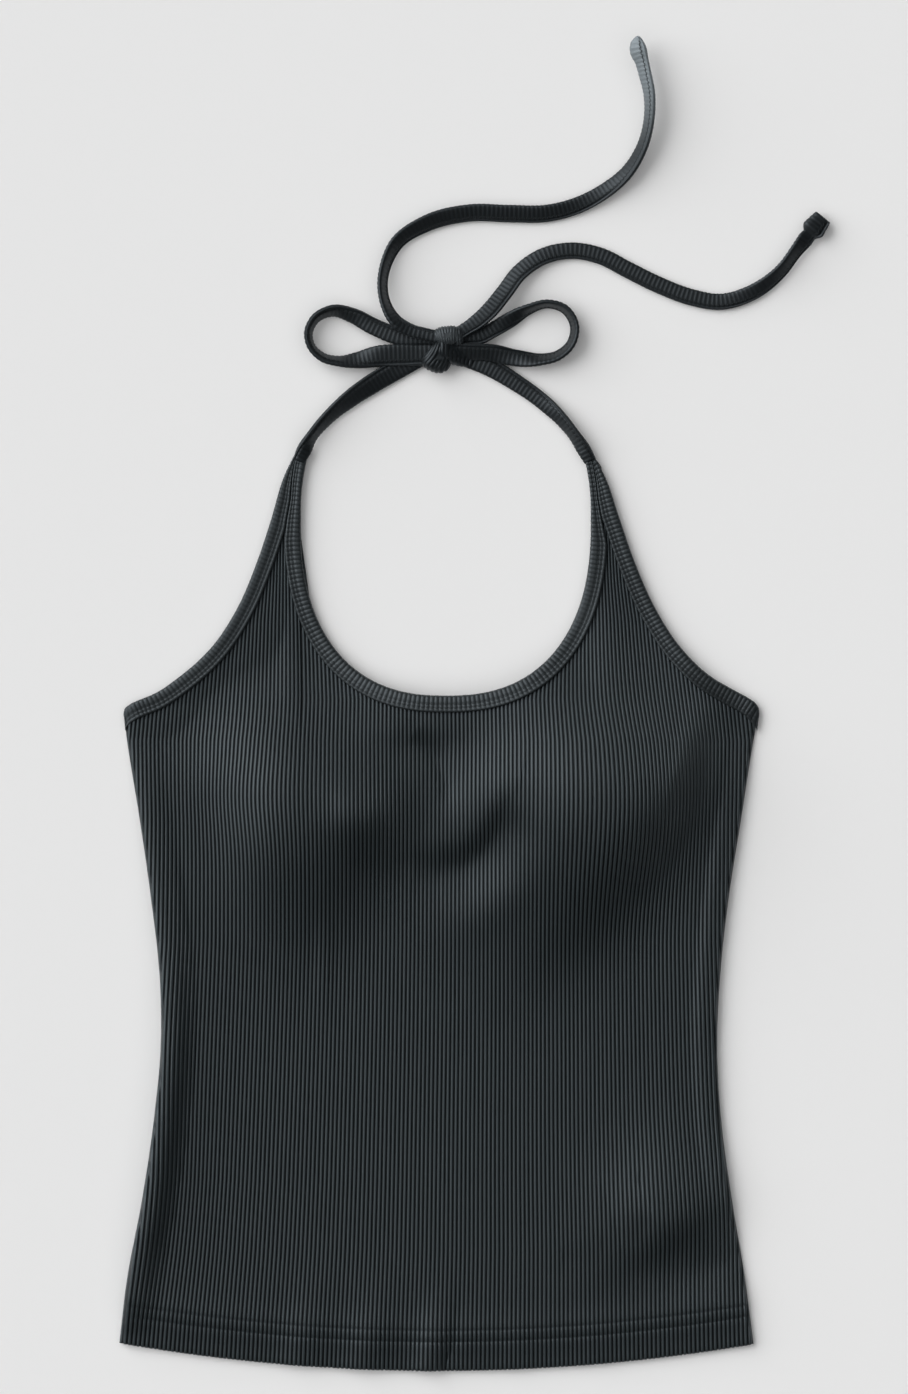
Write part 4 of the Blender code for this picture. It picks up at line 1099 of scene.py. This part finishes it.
BOW_LOOP_RIGHT = (
    (17, 410.8, 5.3, 8.6, 0), (24, 411.6, 5.1, 9.4, 0), (31.5, 415.2, 4.9, 9.2, 0),
    (40.5, 420.4, 4.8, 9.4, 18), (52, 427, 5.3, 9.4, 60), (63.5, 430.4, 5.4, 9.4, 72),
    (73.6, 427.2, 5.4, 9.4, 70), (79.3, 417.3, 5.4, 9.4, 68), (77, 406.8, 5.4, 9.4, 66),
    (69.5, 400.2, 5.3, 9.6, 60), (57.9, 397.8, 5.1, 9.8, 48), (45, 398.8, 5, 9.8, 6),
    (31, 401.8, 5.7, 10.6, -26), (16.5, 402.6, 6.4, 10.6, -32),
)
TAIL_LEFT = (
    (-8, 412.6, 9.4, 7, 0), (-15.5, 414.4, 9.6, 7.4, 12), (-24.6, 419.6, 10, 8.6, 36),
    (-31, 430, 8.2, 9, 56), (-33, 441.7, 6.4, 9.2, 60), (-31, 453.4, 5.4, 9.4, 56),
    (-24.6, 466, 4.6, 9.4, 40), (-7, 477.6, 3.9, 10.4, 30), (18, 483.6, 3.4, 10.4, 24),
    (41.5, 483.2, 3.2, 10.4, 22), (63, 483.4, 3, 10.2, 20), (79, 487.3, 2.6, 9.8, 12),
    (96, 495.8, 3.4, 9.2, -12), (110, 507.4, 5.2, 9.4, -40), (119.3, 523.5, 7.2, 9.4, -54),
    (122.9, 540, 9.4, 9.4, -58), (122.7, 553, 11, 9.4, -54), (120, 565, 12.2, 8.8, -42),
    (118.3, 571.6, 12.8, 8.9, -34), (116.6, 576.6, 13.1, 10.4, -29, 3.4),
    (115.9, 580.2, 13.2, 9.6, -26, 3.4), (116, 583.6, 13.3, 6.2, -24, 3),
    (116.3, 586, 13.4, 1.2, -24, 2.4),
)
TAIL_RIGHT = (
    (16.5, 416, 9.6, 7.6, 0), (21.5, 419.2, 9.8, 8.8, -4), (28.9, 425.6, 9.4, 9.8, -10),
    (37.6, 436.2, 7, 10, -16), (47.4, 449, 4.4, 10, -18), (61, 458.2, 2.8, 9.8, -8),
    (78.4, 461.6, 1.9, 9.6, 0), (94.2, 458.6, 1.8, 9.6, 0), (110.5, 450.4, 1.8, 9.6, 0),
    (129.3, 441.2, 1.8, 9.6, 0), (148.6, 434.1, 1.8, 9.6, 0), (164.4, 431.7, 1.8, 9.4, 0),
    (183.7, 437.4, 2.9, 9.2, 16), (199.5, 449.3, 4.7, 9.2, 42),
    (209.4, 462.2, 5.2, 9.2, 40), (214.2, 468.2, 4.8, 9.6, 20),
    (217, 471.6, 4.6, 9.8, 10, 3), (217.6, 472.4, 4.6, 11.8, 8, 4.8),
    (221.4, 477.2, 4.3, 12.2, 6, 5), (224.4, 481, 4, 10.6, 6, 4.4),
)


def tie(name, node, rows, sewn_edge, runs_on=(0.0, 0.0), painted_highlight_over=None):
    """A strip folded to a flat tube along a smooth route; its sewn edge is 1 left or -1 right.

    Painted_highlight_over gives the two heights between which its knit goes over to a paler
    colour: a painted highlight where the end turns up to the light.
    """
    curve = smooth([(*row[:4], *(row[5:] or (TIE_THICK,)), row[4]) for row in rows])
    for end, reach in zip((0, -1), runs_on):
        if reach:
            step = curve[end, :2] - curve[1 if end == 0 else -2, :2]
            more = curve[end].copy()
            more[:2] += step / np.linalg.norm(step) * reach
            curve = np.vstack([more, curve] if end == 0 else [curve, more])
    route, ribs, stations = at_ribs(curve, BAND_RIB, TIE_RIB_PARTS)
    along = unit(np.gradient(route[:, :3], axis=0))
    level = unit(np.stack([-along[:, 1], along[:, 0], 0 * along[:, 0]], axis=1))
    upright = np.cross(along, level)
    tilt = np.radians(route[:, 5])[:, None]
    face = upright * np.cos(tilt) - level * np.sin(tilt)
    half = (level * np.cos(tilt) + upright * np.sin(tilt)) * (route[:, 3:4] / 2)
    deep = face * (route[:, 4:5] / 2 - TIE_RIB_ROOM)
    coarse = np.append(np.arange(0, len(route) - 1, TIE_ROUTE_POINTS), len(route) - 1)
    rows, relief = [], []

    def line(u, v, least):
        """A line of points along the tube, kept above the table."""
        points = route[:, :3] + half * u * sewn_edge + deep * v
        return np.maximum(points, (-np.inf, -np.inf, TIE_RIB_HEIGHT + least))

    for u, v, stands_out in TIE_OUTLINE:
        rows.append(line(u, v, 0.02))
        relief.append(np.full(len(route), stands_out))
    for u, v, _ in TIE_OUTLINE[::-1]:
        rows.append(line(u * TIE_INSIDE[0], v * TIE_INSIDE[1], 0.3)[coarse])
        relief.append(np.zeros(len(coarse)))

    def on_all(values):
        """The same values on every line, outside and inside."""
        return [values] * len(TIE_OUTLINE) + [values[coarse]] * len(TIE_OUTLINE)

    across = [TIE_ACROSS * u for u, _, _ in TIE_OUTLINE]
    # Painted highlight: between the two heights the knit is coloured paler, where the end lifts
    # and turns to the lamp.
    painted_highlight = np.zeros(len(route))
    if painted_highlight_over:
        painted_highlight = fade((route[:, 1] - painted_highlight_over[0]) / (painted_highlight_over[1] - painted_highlight_over[0]))
    piece = skin_round(name, rows, on_all(stations), {
        "rib": on_all(ribs),
        "painted_highlight": on_all(painted_highlight),
        "along": [np.full(len(row), x) for row, x in zip(rows, across + across[::-1])],
        "relief": relief,
    })
    raise_ribs(piece, TIE_RIB_HEIGHT, TIE_CREST, STRIP_FOOT, 0.0, TIE_KNIT)
    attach(piece, "root")
    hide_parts(node)
    run = []
    for n in range(1, int(ribs[-1]) - 1):
        for thread in ZIGZAG:
            ends = []
            for part, out in thread:
                middle, sideways, outward, up = (
                    at_rib(n + part, ribs, values)
                    for values in (route[:, :3], half, deep, face))
                ends.append(middle + sideways * out * sewn_edge
                            + outward * ZIGZAG_FACE[0] + up * ZIGZAG_FACE[1])
            run.append((*ends, up))
    stitching = sew(name + "_zigzag", run)


tie("left_strap", "strap_left", STRAP_LEFT, -1, (INTO_KNOT, 0.0))
tie("right_strap", "strap_right", STRAP_RIGHT, 1, (INTO_KNOT, 0.0))
tie("left_bow_loop", "bow_loop_left", BOW_LOOP_LEFT, 1, (INTO_KNOT, INTO_KNOT))
tie("right_bow_loop", "bow_loop_right", BOW_LOOP_RIGHT, -1, (INTO_KNOT, INTO_KNOT))
# The left end is painted paler from 516 to 572 mm up: a painted highlight where it lifts off
# the table.
tie("left_free_end", "tail_left", TAIL_LEFT, -1, (INTO_KNOT, 0.0), (516.0, 572.0))
tie("right_free_end", "tail_right", TAIL_RIGHT, -1, (INTO_KNOT, 0.0))


# === Knot ===================================================================================
# The same tube drawn tight: one strand crosses over the top, one is turned down under it and
# fans out, and the strap comes out from behind them.

KNOT = (
    # x, y, z, half_width, half_length, half_height, turn, taper, bend, lean, rib pitch, painted
    # highlight
    (11, 400.8, 4.2, 9.8, 6.2, 4, -12, 0, 0, 0.5, 2.4, 0),
    (8, 405, 5.4, 8.6, 8, 4.8, 0, 0, 0, 0.6, 2.4, 0),
    (0.2, 399.4, 6.4, 7.2, 9.4, 5, -24, -0.30, -1.8, 0.28, 1.9, 0),
    # The two strands on top are coloured a little paler: painted highlight.
    (5, 411.5, 8.4, 7.2, 5.5, 5.4, 6, 0.2, 0, 0.05, 1.5, 0.15),
    (11.4, 411.2, 7.8, 2.6, 5, 4.6, 4, 0, 0, 0.3, 1.5, 0.1),
)
KNOT_SIDES = 96
KNOT_RINGS = 48
KNOT_SQUARENESS = 0.5   # how square a fold is from the side: 1 is round
KNOT_CORNERS = 0.8      # and from above
KNOT_RIB_HEIGHT = 0.5
knot_points, knot_faces, knot_ribs, knot_along, knot_painted_highlight = [], [], [], [], []
for x, y, z, half_width, half_length, half_height, turn, taper, bend, lean, pitch, painted_highlight in KNOT:
    angle = math.radians(turn)
    first = len(knot_points)
    for ring in range(1, KNOT_RINGS):
        up = math.pi * (ring / KNOT_RINGS - 0.5)
        out = math.cos(up) ** KNOT_SQUARENESS
        for k in range(KNOT_SIDES):
            round_about = 2 * math.pi * k / KNOT_SIDES
            across, on = (
                math.copysign(abs(share) ** KNOT_CORNERS, share) * out
                for share in (math.cos(round_about), math.sin(round_about)))
            u = half_width * across * (1 + taper * on) + bend * on * on
            v = half_length * on
            height = z + half_height * math.sin(up) - lean * u * max(0.0, math.sin(up))
            knot_points.append((
                x + u * math.cos(angle) - v * math.sin(angle),
                y + u * math.sin(angle) + v * math.cos(angle),
                max(height, KNOT_RIB_HEIGHT + 0.05),
            ))
            knot_ribs.append(half_width * across / pitch)
            knot_along.append(v)
            knot_painted_highlight.append(painted_highlight)
    last = len(knot_points) - KNOT_SIDES
    for ring in range(first, last, KNOT_SIDES):
        for k in range(KNOT_SIDES):
            a, b = ring + k, ring + (k + 1) % KNOT_SIDES
            knot_faces.append((a, b, b + KNOT_SIDES, a + KNOT_SIDES))
    knot_faces.append(tuple(range(first, first + KNOT_SIDES))[::-1])
    knot_faces.append(tuple(range(last, last + KNOT_SIDES)))
knot = new_piece("bow_knot", knot_points, knot_faces)
add_numbers(knot, {
    "rib": knot_ribs, "along": knot_along, "painted_highlight": knot_painted_highlight, "relief": [1.0] * len(knot_ribs)})
raise_ribs(knot, KNOT_RIB_HEIGHT, TIE_CREST, STRIP_FOOT, 0.0, TIE_KNIT)
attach(knot, "root")
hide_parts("knot")
